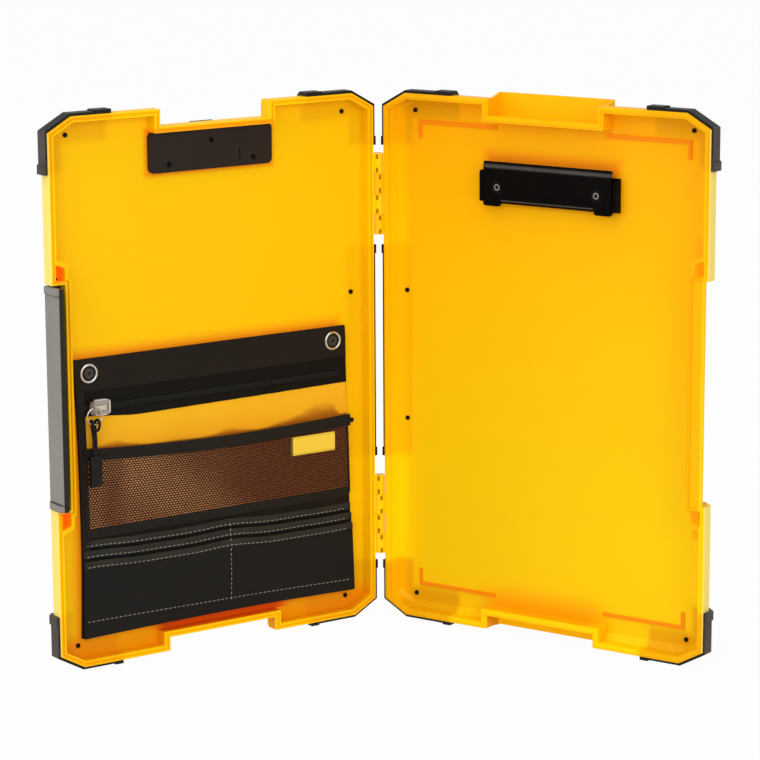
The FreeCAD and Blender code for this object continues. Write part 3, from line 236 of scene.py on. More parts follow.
# Case halves: two trays moulded in bright yellow plastic, a little clear. Where the black guards
# are fixed behind them, amber patches of painted shade darken the plastic. The lid swings on the
# base's spine.
HINGE = Vector(next(j for j in frame["joints"] if j["name"] == "lid_hinge")["pos_m"])
HINGE.z = 0.0
LID_OUT = Vector((-0.374607, -0.927184, 0.0))
LID_BACK = Vector((-0.927184, 0.374607, 0.0))
BASE_OUT = Vector((1.0, 0.0, 0.0))
BASE_BACK = Vector((0.0, 1.0, 0.0))
UP = Vector((0.0, 0.0, 1.0))
# LIGHT_YELLOW and DEEP_YELLOW are painted light and painted shade on the base, AMBER is the amber painted
# shade over the guards and a random tone, ORANGE, NOTCH_ORANGE, FOOT_ORANGE, SILL_ORANGE and DASH_BROWN are
# painted shade, PALE_YELLOW is painted light on the outer side and the colour of scuffs, and WALL_GLOW and
# BRIDGE_GLOW are painted glow.
YELLOW = srgb(255, 201, 2)
LIGHT_YELLOW = srgb(255, 214, 8)
DEEP_YELLOW = srgb(255, 172, 0)
AMBER = srgb(229, 164, 4)
ORANGE = srgb(250, 138, 12)
PALE_YELLOW = srgb(255, 231, 128)
NOTCH_ORANGE = srgb(250, 140, 2)
FOOT_ORANGE = srgb(234, 102, 4)
SILL_ORANGE = srgb(232, 74, 6)
DASH_BROWN = srgb(132, 46, 2)
NO_GLOW = (0.0, 0.0, 0.0, 1.0)
WALL_GLOW = srgb(255, 196, 4)
BRIDGE_GLOW = srgb(255, 190, 4)
MM = 0.001
STAND = 3.0
CASE_SIDE = 274.3
LATCH_POCKETS = ((102.0, 115.0), (280.0, 293.0))
KNUCKLES = {"base": (52.9, 83.3, 296.5, 326.9), "lid": (68.1, 98.5, 311.7, 342.1)}
RIBS_OUT, RIBS_UP = (0.020, 0.256), (0.020, 0.381)
FLANGE_OUT, FLANGE_UP = (0.257, 0.2698), (0.092, 0.310)
SILL_OUT, SILL_UP, SILL_DEPTH = (0.080, 0.190), (0.0169, 0.030), (0.0016, 0.0104)
POCKET_OUT, NOTCH_OUT, DASH_OUT = (0.2630, 0.2714), (0.085, 0.185), (0.0021, 0.0033)
RIM_DEPTH, RIM_FOOT = (0.0016, 0.0022), (0.0022, 0.0030)


def spans(node, outwards):
    """How far a node reaches outwards from the hinge and upwards: its lowest and highest of each."""
    points = [vertex.co for vertex in bpy.data.objects[node].data.vertices]
    out = [(point - HINGE).dot(outwards) for point in points]
    up = [point.z for point in points]
    return min(out), max(out), min(up), max(up)


def finish_with(finish, *nodes):
    """Gives CAD nodes a finish in place of their plain one."""
    for node in nodes:
        for slot in bpy.data.objects[node].material_slots:
            slot.material = finish.material


def guard_patch(finish, out, up, guard, outwards):
    """The painted shade where a corner guard lies behind the plastic: a strip along the end and one down the
    side.
    """
    left, right, low, high = spans(guard, outwards)
    side = left if "spine" in guard else right
    end = high if "top" in guard else low
    box = finish.band(out, left, right, 0.003) * finish.band(up, low, high, 0.003)
    near_side = 1 - finish.ramp(abs(out - side), 0.015, 0.022)
    near_end = 1 - finish.ramp(abs(up - end), 0.018, 0.026)
    return box * near_side.highest(near_end)


def beside(finish, out, up, box, reach):
    """One inside a box of the panel, fading to nothing at a reach outside it."""
    left, right, low, high = box
    away_out = abs(out - (left + right) / 2) - (right - left) / 2
    away_up = abs(up - (low + high) / 2) - (high - low) / 2
    return 1 - finish.ramp(away_out.highest(away_up), 0.0, reach)


def yellow_plastic(name, outwards, backwards, strength, rib_depth, panel, covers, sunk, base_painted_light):
    """Moulded yellow plastic, with painted light and shade in its colour: amber painted shade over the
    guards, orange painted shade in its hollows, pale painted light on its outer side and a painted glow
    on its rim.

    Strength is that of the amber painted shade, sunk that of the orange painted shade at the lid's
    foot and in its pockets, and base_painted_light that of the base's painted light and shade, lighter
    low down and deeper yellow high up. Covers are boxes round which painted orange shade falls on the
    panel.
    """
    half = name.split("_")[0]
    finish = Finish(name)
    place = finish.place()
    out = finish.along(place, HINGE, outwards)
    up = finish.along(place, HINGE, UP)
    depth = finish.along(place, HINGE, backwards)
    # Painted shade: amber patches where the spine strip and the corner guards lie behind the plastic.
    left, right, low, high = spans(f"{half}_spine_strip", outwards)
    patches = finish.band(out, left, right, 0.003) * finish.band(up, low, high, 0.004) * 0.6
    for side in ("spine", "outer"):
        for end in ("top", "bottom"):
            patches = patches.highest(guard_patch(finish, out, up, f"{half}_bumper_{side}_{end}", outwards))
    cloud = finish.noise(place, 9.0, 3.0)
    patches = patches * (0.7 + cloud * 0.6)
    grain = finish.noise(place, 900.0, 2.0)
    scuffs = finish.ramp(finish.noise(finish.stretched(place, (14.0, 14.0, 260.0)), 3.0, 3.0), 0.66, 0.8)
    # Painted orange shade on the corner ribs, round the covers and in the latch pockets.
    inside = finish.band(out, *RIBS_OUT, 0.0005) * finish.band(up, *RIBS_UP, 0.0005)
    rib_shade = inside * (1 - finish.ramp(depth, rib_depth - 0.0002, rib_depth)) * 0.9
    shades = 0.0
    for box, reach in covers:
        shades = beside(finish, out, up, box, reach).highest(shades)
    shades = shades * (1 - finish.ramp(depth, panel + 0.0004, panel + 0.0008)) * 0.85
    hollow = finish.band(out, *POCKET_OUT, 0.0003) * finish.band(depth, 0.0015, panel + 0.0016, 0.0003)
    pockets = 0.0
    for lowest, highest in LATCH_POCKETS:
        pockets = finish.band(up, (lowest + STAND) * MM, (highest + STAND) * MM, 0.0006).highest(pockets)
    pockets = pockets * hollow
    # Painted shade: brown dashes on the rim beside each hinge knuckle.
    knuckle_gap_shade = 0.0
    for middle in KNUCKLES[half]:
        knuckle_gap_shade = finish.band(abs(up - (middle + STAND) * MM), 0.0032, 0.0068, 0.0003).highest(knuckle_gap_shade)
    knuckle_gap_shade = knuckle_gap_shade * finish.band(out, *DASH_OUT, 0.0002) * (1 - finish.ramp(depth, -0.0004, 0.0))
    # Painted light: the outer side wall is painted pale, as if over-lit.
    side_wall_light = finish.ramp(out, (CASE_SIDE - 0.5) * MM, (CASE_SIDE - 0.1) * MM)
    on_panel = 1 - finish.ramp(depth, panel + 0.0006, panel + 0.0012)
    below_rim = finish.ramp(depth, *RIM_FOOT)
    flange = finish.band(out, *FLANGE_OUT, 0.0005) * finish.band(up, *FLANGE_UP, 0.0005)
    # Painted orange and red shade in the base's notch, at the lid's foot and on the sill under the pouch.
    sill = finish.band(up, *SILL_UP, 0.0003) * finish.band(out, *SILL_OUT, 0.008)
    sill = sill * finish.band(depth, *SILL_DEPTH, 0.0003)
    foot = (1 - finish.ramp(up, 0.014, 0.030)) * on_panel * below_rim
    notch = (1 - finish.ramp(up, 0.020, 0.040)) * on_panel * below_rim * finish.band(out, *NOTCH_OUT, 0.016)
    # Painted light and shade on the base: lighter low down, deeper yellow high up and over the flange.
    low_down, high_up = 1 - finish.ramp(up, 0.06, 0.24), finish.ramp(up, 0.18, 0.40)
    colour = finish.mix(low_down * on_panel * base_painted_light, YELLOW, LIGHT_YELLOW)
    colour = finish.mix(flange * base_painted_light * 0.7, colour, DEEP_YELLOW)
    colour = finish.mix(high_up * base_painted_light * (0.5 + on_panel * 0.5), colour, DEEP_YELLOW)
    colour = finish.mix(cloud * 0.12, colour, AMBER)
    colour = finish.mix(patches * strength, colour, AMBER)
    colour = finish.mix(scuffs * 0.1, colour, PALE_YELLOW)
    colour = finish.mix(rib_shade.highest(shades).highest(pockets * (0.2 + 0.8 * sunk)), colour, ORANGE)
    colour = finish.mix(notch * base_painted_light * 0.75, colour, NOTCH_ORANGE)
    colour = finish.mix(foot * sunk * 0.55, colour, FOOT_ORANGE)
    colour = finish.mix(sill * sunk, colour, SILL_ORANGE)
    colour = finish.mix(side_wall_light * 0.85, colour, PALE_YELLOW)
    colour = finish.mix(knuckle_gap_shade * 0.9, colour, DASH_BROWN)
    # Painted light: an emitted painted glow on the rim, on the base's spine wall, in the latch pockets and on
    # the base's bridge face below the rim.
    rim = (1 - finish.ramp(depth, *RIM_DEPTH)) * (1 - flange) * 0.45
    spine_wall = finish.ramp(out, 0.0035, 0.0045) * (1 - finish.ramp(out, 0.008, 0.020)) * (1 - sunk) * 0.7
    spine_wall = spine_wall * finish.band(depth, 0.0026, panel, 0.0004)
    bridge = finish.ramp(depth, 0.0182, 0.0192) * (1 - finish.ramp(depth, 0.0206, 0.021))
    bridge = bridge * (1 - finish.ramp(up, 0.0130, 0.0134))
    glow = finish.mix(rim.highest(spine_wall), NO_GLOW, WALL_GLOW)
    glow = finish.mix(pockets, glow, srgb(255, 182 - 70 * sunk, 10))
    glow = finish.mix(bridge * 0.85, glow, BRIDGE_GLOW)
    finish.shade(Base_Color=colour, Roughness=0.34 + cloud * 0.12 + scuffs * 0.08, Specular_IOR_Level=0.08,
                 Emission_Color=glow, Emission_Strength=0.3, Normal=finish.bump(grain + cloud * 2.0, 0.00004))
    return finish


BASE_GUARDS = [f"base_bumper_{side}_{end}" for side in ("spine", "outer") for end in ("top", "bottom")]
LID_GUARDS = [guard.replace("base", "lid") for guard in BASE_GUARDS]
# The clip, the backing plate and the pouch are covers round which painted orange shade falls on the panels.
clip_left, clip_right, clip_low, clip_high = spans("paper_clip_lever", BASE_OUT)
clip_shade = (clip_left + 0.003, clip_right - 0.002, clip_low + 0.008, clip_high + 0.001)
pouch_left, pouch_right, pouch_low, pouch_high = spans("pouch_back", LID_OUT)
pouch_shade = (pouch_left + 0.016, pouch_right - 0.0040, pouch_low + 0.004, pouch_high)
base_covers = [(clip_shade, 0.011)]
base_yellow = yellow_plastic("base_yellow", BASE_OUT, BASE_BACK, strength=0.85, rib_depth=0.0148,
                             panel=0.0152, covers=base_covers, sunk=0.0, base_painted_light=0.75)
finish_with(base_yellow, "base_shell")
lid_covers = [(spans("clip_backing_plate", LID_OUT), 0.005), (pouch_shade, 0.0105)]
lid_yellow = yellow_plastic("lid_yellow", LID_OUT, LID_BACK, strength=0.5, rib_depth=0.0,
                            panel=0.0100, covers=lid_covers, sunk=0.9, base_painted_light=0.0)
finish_with(lid_yellow, "lid_shell")

# Guards: moulded black rubber caps on the corners and a strip along the spine of each half,
# with a fine sandblasted skin. They are screwed on from inside, and their outer sides are painted
# greyer as painted light.
rubber = Finish("guard_rubber")
rubber_place = rubber.place()
rubber_skin = rubber.noise(rubber_place, 1400.0, 2.0)
rubber_dust = rubber.ramp(rubber.noise(rubber_place, 60.0, 5.0, 0.65), 0.5, 0.8)
rubber_side_light = 0.0
for guards, outwards in ((BASE_GUARDS, BASE_OUT), (LID_GUARDS, LID_OUT)):
    guard_side = max(spans(guard, outwards)[1] for guard in guards)
    rubber_out = rubber.along(rubber_place, HINGE, outwards)
    rubber_side_light = rubber.ramp(rubber_out, guard_side - 0.0022, guard_side - 0.0018).highest(rubber_side_light)
rubber_colour = rubber.mix(rubber_dust * 0.4, srgb(14, 12, 10), srgb(46, 40, 36))
rubber_colour = rubber.mix(rubber_side_light * 0.8, rubber_colour, srgb(72, 64, 58))
rubber.shade(Base_Color=rubber_colour, Roughness=0.5 + rubber_dust * 0.2, Specular_IOR_Level=0.2,
             Normal=rubber.bump(rubber_skin, 0.00005))
finish_with(rubber, *BASE_GUARDS, *LID_GUARDS, "base_spine_strip", "lid_spine_strip")

# Screws and pins: small black-oxide screws hold the guards from inside. The pins of the latch and
# of both clips are blackened too, and plain drawn steel is used for the hinge pins and the springs.
black_steel = Finish("black_oxide_steel")
oxide = black_steel.noise(black_steel.place(), 2600.0, 3.0)
black_steel.shade(Base_Color=black_steel.mix(oxide, srgb(8, 5, 4), srgb(28, 20, 15)), Metallic=0.1,
                  Roughness=0.35 + oxide * 0.2, Specular_IOR_Level=0.1,
                  Normal=black_steel.bump(oxide, 0.00003))
finish_with(black_steel, "base_bumper_screws", "lid_bumper_screws", "latch_pin", "paper_clip_pin",
            "lid_clip_pin")
pin_steel = Finish("drawn_steel")
pin_lines = pin_steel.noise(pin_steel.stretched(pin_steel.place(), (900.0, 900.0, 12.0)), 2.0, 2.0)
pin_steel.shade(Base_Color=pin_steel.mix(pin_lines, srgb(150, 150, 152), srgb(188, 187, 184)), Metallic=1.0,
                Roughness=0.25 + pin_lines * 0.2, Normal=pin_steel.bump(pin_lines, 0.00002))
finish_with(pin_steel, "hinge_pin_upper", "hinge_pin_lower", "paper_clip_spring", "lid_clip_spring")

# Latch: one long moulded handle, its outer face a satin grey and the rest of it black,
# turning on a pin through the lid's side wall.
latch_finish = Finish("latch_grey_and_black")
latch_place = latch_finish.place()
latch_out = latch_finish.along(latch_place, HINGE, LID_OUT)
latch_depth = latch_finish.along(latch_place, HINGE, LID_BACK)
latch_up = latch_finish.along(latch_place, HINGE, UP)
latch_right, latch_low, latch_high = spans("latch", LID_OUT)[1:]
latch_face = latch_finish.ramp(latch_out, latch_right - 0.0036, latch_right - 0.0032)
latch_front = latch_finish.ramp(latch_out, latch_right - 0.0022, latch_right - 0.0019)
latch_face = latch_face * latch_finish.ramp(latch_depth, -0.0082, -0.0078).highest(latch_front)
latch_reach = abs(latch_up - (latch_low + latch_high) / 2) - (latch_high - latch_low) / 2
latch_line = 1 - latch_finish.ramp(abs(latch_reach + 0.0052), 0.0003, 0.0007)
latch_cloud = latch_finish.noise(latch_place, 34.0, 4.0, 0.6)
latch_grain = latch_finish.noise(latch_place, 1500.0, 2.0)
latch_grey = latch_finish.mix(latch_cloud, srgb(122, 118, 111), srgb(144, 139, 131))
latch_colour = latch_finish.mix(latch_face, srgb(26, 24, 23), latch_grey)
latch_finish.shade(Base_Color=latch_finish.mix(latch_line * 0.75, latch_colour, srgb(18, 17, 16)),
                   Roughness=0.42 + latch_cloud * 0.12, Normal=latch_finish.bump(latch_grain, 0.00004),
                   Specular_IOR_Level=0.25)
finish_with(latch_finish, "latch")

# Paper clips: folded sheet steel in stoved black enamel, hung on a sprung pin, with two hollow
# nickel rivets through each lever. Pale painted highlights lie along its bends, and it dips round
# the rivets.
RIVET_APART = 0.02
enamel = Finish("stoved_black_enamel")
enamel_place = enamel.place()
enamel_peel = enamel.noise(enamel_place, 420.0, 2.0)
enamel_smears = enamel.noise(enamel_place, 45.0, 4.0, 0.65)
enamel_up = enamel.along(enamel_place, HINGE, UP)
enamel_out = enamel.along(enamel_place, HINGE, BASE_OUT)
lever_left, lever_right, lever_low, lever_high = spans("paper_clip_lever", BASE_OUT)
enamel_bend = 1 - enamel.ramp(abs(enamel_up - (lever_high - 0.0034)), 0.0003, 0.0022)
foot_bend = 1 - enamel.ramp(abs(enamel_up - (lever_low + 0.0044)), 0.0002, 0.0007)
foot_bend = foot_bend * enamel.band(enamel_out, lever_left + 0.015, lever_right - 0.015, 0.001)


def from_rivets(finish, place):
    """How far a place is from the nearest of the four rivets in the levers."""
    nearest = 1.0
    for node in ("paper_clip_rivets", "lid_clip_rivets"):
        points = [vertex.co for vertex in bpy.data.objects[node].data.vertices]
        start = min(points, key=lambda point: (point - HINGE).length)
        for near in (True, False):
            ring = [point for point in points if ((point - start).length < RIVET_APART) == near]
            middle = [(min(values) + max(values)) / 2 for values in zip(*ring)]
            away = finish.node("ShaderNodeVectorMath", {"operation": "DISTANCE"}, {0: place, 1: middle}, 1)
            nearest = away.lowest(nearest)
    return nearest


rivet_reach = from_rivets(enamel, enamel_place)
enamel_dish = enamel.ramp(rivet_reach, 0.0026, 0.0056)
# Pale painted highlights along the top bend and the lower bend of each lever.
enamel_bend_highlight = enamel_bend * (0.04 + enamel_smears * 0.18) + foot_bend * enamel_smears * 0.5
enamel_colour = enamel.mix(enamel_smears * 0.5, srgb(5, 3, 2), srgb(15, 10, 6))
enamel_coat = enamel_smears * 0.06 + enamel_bend * 0.7 + (1 - enamel_dish) * 0.2
enamel_height = enamel_peel * 0.02 + enamel_dish + enamel_bend * 0.4
enamel.shade(Base_Color=enamel.mix(enamel_bend_highlight, enamel_colour, srgb(150, 142, 138)), Specular_IOR_Level=0.02,
             Roughness=0.14 + enamel_smears * 0.14, Coat_Weight=enamel_coat, Coat_Roughness=0.08,
             Normal=enamel.bump(enamel_height, 0.0014))
finish_with(enamel, "paper_clip_lever", "lid_clip_lever", "paper_clip_plate", "lid_clip_plate")

rivet = Finish("hollow_rivet_nickel")
rivet_place = rivet.place()
rivet_marks = rivet.noise(rivet_place, 1600.0, 3.0)
rivet_far = from_rivets(rivet, rivet_place)
# The rivet is dark except for a bright ring; the dark inside the ring is painted shade in its bore.
rivet_rim = rivet.band(rivet_far, 0.0021, 0.0025, 0.0002)
rivet.shade(Base_Color=rivet.mix(rivet_rim, srgb(30, 27, 25), srgb(176, 170, 162)), Metallic=0.3,
            Roughness=0.3 + rivet_marks * 0.2, Normal=rivet.bump(rivet_marks, 0.00003))
finish_with(rivet, "paper_clip_rivets", "lid_clip_rivets", "paper_clip_fixings")

# Backing plate: a satin black moulding inside the lid with rounded ends. Three sunk black screws
# pass through it and the lid's panel and hold the outer clip.
plate_finish = Finish("satin_black_moulding")
plate_place = plate_finish.place()
plate_grain = plate_finish.noise(plate_place, 1300.0, 2.0)
plate_cloud = plate_finish.noise(plate_place, 40.0, 4.0)
plate_finish.shade(Base_Color=plate_finish.mix(plate_cloud, srgb(23, 15, 9), srgb(35, 26, 18)),
                   Roughness=0.36 + plate_cloud * 0.16, Specular_IOR_Level=0.2,
                   Normal=plate_finish.bump(plate_grain, 0.00004))
finish_with(plate_finish, "clip_backing_plate")

sunk_screw = Finish("sunk_black_screw")
sunk_marks = sunk_screw.noise(sunk_screw.place(), 2200.0, 3.0)
sunk_screw.shade(Base_Color=sunk_screw.mix(sunk_marks, srgb(2, 2, 2), srgb(12, 9, 8)), Specular_IOR_Level=0.1,
                 Roughness=0.5 + sunk_marks * 0.2, Normal=sunk_screw.bump(sunk_marks, 0.00003))
finish_with(sunk_screw, "clip_backing_screws")

# Pouch back: the black cloth sheet that everything else is sewn to. It hangs flat on the lid's
# panel by two eyelets, and its outer edge is turned forward as a plain black border.
POUCH_FOOT, POUCH_TOP = 18.6, 222.1
POUCH_OUTER = 255.0
SPINE_FOOT, SPINE_TOP = 19.8, 26.0
SWELL_START, SWELL_RUN = 22, 230
BORDER_WIDE, BORDER_LOW, BORDER_HIGH = 6.2, POUCH_FOOT + 60, 199.0
HEAD_LOW = 198.6
CLOTH = 1.2


def lid_point(out, depth, up):
    """A point of the lid from millimetres out from the hinge, back from the rim and up."""
    return HINGE + (LID_OUT * out + LID_BACK * depth + UP * (up + STAND)) * MM


def outer_edge(up):
    """The pouch's outer edge, which hangs slack and draws in towards its middle."""
    rise = (up - POUCH_FOOT) / (POUCH_TOP - POUCH_FOOT)
    return POUCH_OUTER - 2.2 * (1 - rise) - 2.4 * arch(rise)


def spine_edge(up):
    """The pouch's edge beside the spine, which leans a little."""
    return SPINE_FOOT + (SPINE_TOP - SPINE_FOOT) * (up - POUCH_FOOT) / (POUCH_TOP - POUCH_FOOT)


def arch(share):
    """A single rise and fall between a share of nought and one, and nothing outside them."""
    return math.sin(math.pi * min(max(share, 0), 1))


def swell(out, up):
    """How far the loaded cloth stands forward of where it was cut."""
    across = arch((out - SWELL_START) / SWELL_RUN)
    pens = 1.5 * arch((up - POUCH_FOOT) / 76) * across * (0.75 + 0.25 * math.sin(out * 0.05))
    head = 0.5 * arch((up - 198) / 24) * math.sin(out * 0.035)
    slack = 0.22 * math.sin(out * 0.043 + 0.7) * math.sin(up * 0.061)
    return slack + pens + head


def foot_bow(out, rise):
    """The pouch's foot is drawn up a little between its ends."""
    return 1.8 * arch((out - SWELL_START) / SWELL_RUN) * (1 - rise) ** 3


def round_edges(piece, width, segments):
    """Rounds a piece's sharp edges and smooths what is left of them."""
    edge = piece.modifiers.new("edges", "BEVEL")
    edge.width = width
    edge.segments = segments
    edge.limit_method = "ANGLE"
    edge.angle_limit = math.radians(50)
    bpy.ops.object.modifier_apply(modifier="edges")
    bpy.ops.object.shade_smooth_by_angle(angle=math.radians(40))


def cloth_panel(name, edges, low, high, depth, thick, columns, rows, relief=None, drift=None):
    """A cut of cloth on the lid between two side edges, as a grid that follows the pouch's swell.

    Relief stands it forward and drift moves it up, by its place in millimetres and its shares
    across and up the cut.
    """
    bpy.ops.object.select_all(action="DESELECT")
    bpy.ops.mesh.primitive_grid_add(x_subdivisions=columns, y_subdivisions=rows, size=1.0)
    piece = bpy.context.object
    piece.name = name
    marks = []
    for vertex in piece.data.vertices:
        across, rise = vertex.co.x + 0.5, vertex.co.y + 0.5
        up = low + (high - low) * rise
        outer, spine = edges(up)
        out = outer + (spine - outer) * across
        proud = relief(out, up, across, rise) if relief else 0.0
        marks.append((out, up))
        lift = drift(out, across, rise) if drift else 0.0
        vertex.co = lid_point(out, depth - swell(out, up) - proud, up + lift)
    threads = piece.data.uv_layers.active.data
    for loop in piece.data.loops:
        out, up = marks[loop.vertex_index]
        threads[loop.index].uv = (out * MM, up * MM)
    wall = piece.modifiers.new("wall", "SOLIDIFY")
    wall.thickness = thick * MM
    wall.offset = -1.0
    bpy.ops.object.modifier_apply(modifier="wall")
    round_edges(piece, 0.25 * thick * MM, 2)
    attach(piece, "lid")
    return piece


def pouch_edges(spine_inset, outer_inset):
    """The side edges of a cut that is set in from the pouch's own."""
    return lambda up: (outer_edge(up) - outer_inset, spine_edge(up) + spine_inset)


def woven(name, dark, light, pitch, roughness):
    """Plain woven cloth: threads over and under at a pitch, on the cloth's own map."""
    finish = Finish(name)
    chart, out, rise = finish.chart()
    warp = abs((out * (math.pi / pitch)).sine())
    weft = abs((rise * (math.pi / pitch)).sine())
    over = (((out / pitch).whole() + (rise / pitch).whole()) * 0.5).part() > 0.25
    threads = over * warp + (1 - over) * weft
    cloud = finish.noise(chart, 38.0, 4.0, 0.6)
    finish.map, finish.out, finish.rise = chart, out, rise
    finish.threads, finish.cloud = threads, cloud
    finish.colour = finish.mix(threads * 0.6 + cloud * 0.4, dark, light)
    finish.shade(Base_Color=finish.colour, Roughness=roughness + cloud * 0.12,
                 Normal=finish.bump(threads + cloud * 1.2, 0.00012), Specular_IOR_Level=0.12)
    return finish


black_cloth = woven("black_pouch_cloth", srgb(14, 11, 9), srgb(40, 34, 29), pitch=0.0007, roughness=0.62)
pouch_back = cloth_panel("pouch_back_cloth", pouch_edges(0, 0), POUCH_FOOT, POUCH_TOP, depth=8.5, thick=1.1,
                         columns=60, rows=60, drift=lambda out, across, rise: foot_bow(out, rise))
pouch_back.data.materials.append(black_cloth.material)
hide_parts("pouch_back")

border = cloth_panel("pouch_side_border", lambda up: (outer_edge(up), outer_edge(up) - BORDER_WIDE),
                     BORDER_LOW, BORDER_HIGH, depth=6.9, thick=0.6, columns=6, rows=70,
                     relief=lambda out, up, across, rise: 0.35 * math.sin(math.pi * across))
border.data.materials.append(black_cloth.material)

# Pouch head: the black cloth turned down over the zip, with a nickel eyelet near each end that
# hangs on a moulded black stud of the lid. Its foot is a folded hem over the zip's tape.
STUDS_OUT, STUD_DOWN = (POUCH_OUTER + 0.3 - 12.4, 37.2), 10.5


def head_relief(out, up, across, rise):
    hem = 0.35 * (1 - min(rise / 0.16, 1)) ** 0.5
    pull = 0.25 * math.sin(out * 0.21) * (1 - rise)
    return hem + pull * 0.4


head = cloth_panel("pouch_head_cloth", pouch_edges(0, 0), HEAD_LOW, POUCH_TOP, depth=7.3, thick=CLOTH,
                   columns=130, rows=18, relief=head_relief)
head.data.materials.append(black_cloth.material)
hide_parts("pouch_flap")

stud_moulding = Finish("black_stud")
stud_place = stud_moulding.place()
stud_ring = 1.0
for stud_out in STUDS_OUT:
    stud_middle = lid_point(stud_out, 6.0, POUCH_TOP - STUD_DOWN)
    stud_far = stud_moulding.node("ShaderNodeVectorMath", {"operation": "DISTANCE"},
                                  {0: stud_place, 1: stud_middle}, 1)
    stud_ring = stud_far.lowest(stud_ring)
stud_shade = stud_moulding.band(stud_ring, 0.0016, 0.0036, 0.0005)
stud_moulding.shade(Base_Color=stud_moulding.mix(stud_shade, srgb(14, 12, 11), srgb(66, 62, 56)),
                    Roughness=0.45, Specular_IOR_Level=0.2, Normal=stud_moulding.bump(stud_shade, 0.0004))
finish_with(stud_moulding, "pouch_studs")

nickel = Finish("bright_nickel")
nickel_marks = nickel.noise(nickel.place(), 1800.0, 3.0)
nickel.shade(Base_Color=nickel.mix(nickel_marks, srgb(168, 164, 158), srgb(206, 202, 196)), Metallic=1.0,
             Roughness=0.14 + nickel_marks * 0.16, Normal=nickel.bump(nickel_marks, 0.00002))
finish_with(nickel, "pouch_grommets")

# Zip: a black herringbone tape with a nylon coil along it; the tape's foot is a little wavy
# where it is sewn to the coloured band.
TAPE_LOW, TAPE_HIGH = 180.6, 199.4
ZIP_LINE = 186.6
ZIP_END_OUTER, ZIP_END_SPINE = 6, 6
TOOTH_PITCH, TOOTH_WIDE, TOOTH_LEAN, TOOTH_PINCH, TOOTH_ROUND = 1.5, 3.8, 0.5, 0.7, 0.28
COIL_INSET, COIL_DEPTH = 6.5, 7.0
tape_finish = woven("zip_tape_weave", srgb(3, 3, 2), srgb(15, 13, 11), pitch=0.0011, roughness=0.55)


def tape_relief(out, up, across, rise):
    return 0.12 * math.sin(out * 0.31) * (1 - rise)


def tape_sag(out, across, rise):
    sag = 1.6 + 1.8 * min((out - 26) / 170, 1)
    fade = min(max((out - 200) / 48, 0), 1)
    return -sag * (1 - rise) * (1 - fade * fade * (3 - 2 * fade))


tape = cloth_panel("zip_tape_cloth", pouch_edges(0, 0), TAPE_LOW, TAPE_HIGH, depth=7.5, thick=0.9,
                   columns=130, rows=14, relief=tape_relief, drift=tape_sag)
tape.data.materials.append(tape_finish.material)
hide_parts("zip_tape")


def block(name, cuts=0):
    """A cube one across, cut up for shaping."""
    bpy.ops.object.select_all(action="DESELECT")
    bpy.ops.mesh.primitive_cube_add(size=1.0)
    piece = bpy.context.object
    piece.name = name
    if cuts:
        bpy.ops.object.mode_set(mode="EDIT")
        bpy.ops.mesh.select_all(action="SELECT")
        bpy.ops.mesh.subdivide(number_cuts=cuts)
        bpy.ops.object.mode_set(mode="OBJECT")
    return piece


def repeat(piece, step, count):
    """Sets copies of a piece in a row."""
    row = piece.modifiers.new("row", "ARRAY")
    row.use_relative_offset = False
    row.use_constant_offset = True
    row.constant_offset_displace = (step, 0.0, 0.0)
    row.count = count
    bpy.ops.object.modifier_apply(modifier="row")


tooth_count = int((POUCH_OUTER - ZIP_END_OUTER - spine_edge(ZIP_LINE) - ZIP_END_SPINE) / TOOTH_PITCH)
coil = block("zip_coil")
for vertex in coil.data.vertices:
    x, y, z = vertex.co
    vertex.co = Vector((x * (TOOTH_PINCH if y > 0 else 1.0) + z * TOOTH_LEAN, y, z * TOOTH_WIDE))
edge = coil.modifiers.new("drawn_wire", "BEVEL")
edge.width = TOOTH_ROUND
edge.segments = 2
bpy.ops.object.modifier_apply(modifier="drawn_wire")
repeat(coil, TOOTH_PITCH, tooth_count)
for vertex in coil.data.vertices:
    out, up = POUCH_OUTER - COIL_INSET - vertex.co.x, ZIP_LINE + vertex.co.z
    vertex.co = lid_point(out, COIL_DEPTH - vertex.co.y - swell(out, up), up)
bpy.ops.object.shade_smooth_by_angle(angle=math.radians(40))
nylon = Finish("black_nylon_coil")
nylon_marks = nylon.noise(nylon.place(), 700.0, 2.0)
nylon.shade(Base_Color=nylon.mix(nylon_marks, srgb(10, 10, 9), srgb(43, 43, 38)), Specular_IOR_Level=0.2,
            Roughness=0.4 + nylon_marks * 0.2, Normal=nylon.bump(nylon_marks, 0.00003))
coil.data.materials.append(nylon.material)
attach(coil, "lid")
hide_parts("zip_teeth")

# Band: the yellow cloth front of the zipped pocket. It is sewn flat under the tape and puckers
# towards its foot, where it goes down behind the mesh.
BAND_LOW, BAND_HIGH, BAND_RUN = 97.1, 181.4, 0.229
TUCKS = ((0.10, 0.20, 0.45), (0.50, 0.62, 0.3))
band_cloth = woven("yellow_band_cloth", srgb(240, 166, 14), srgb(255, 200, 40), pitch=0.0009, roughness=0.6)
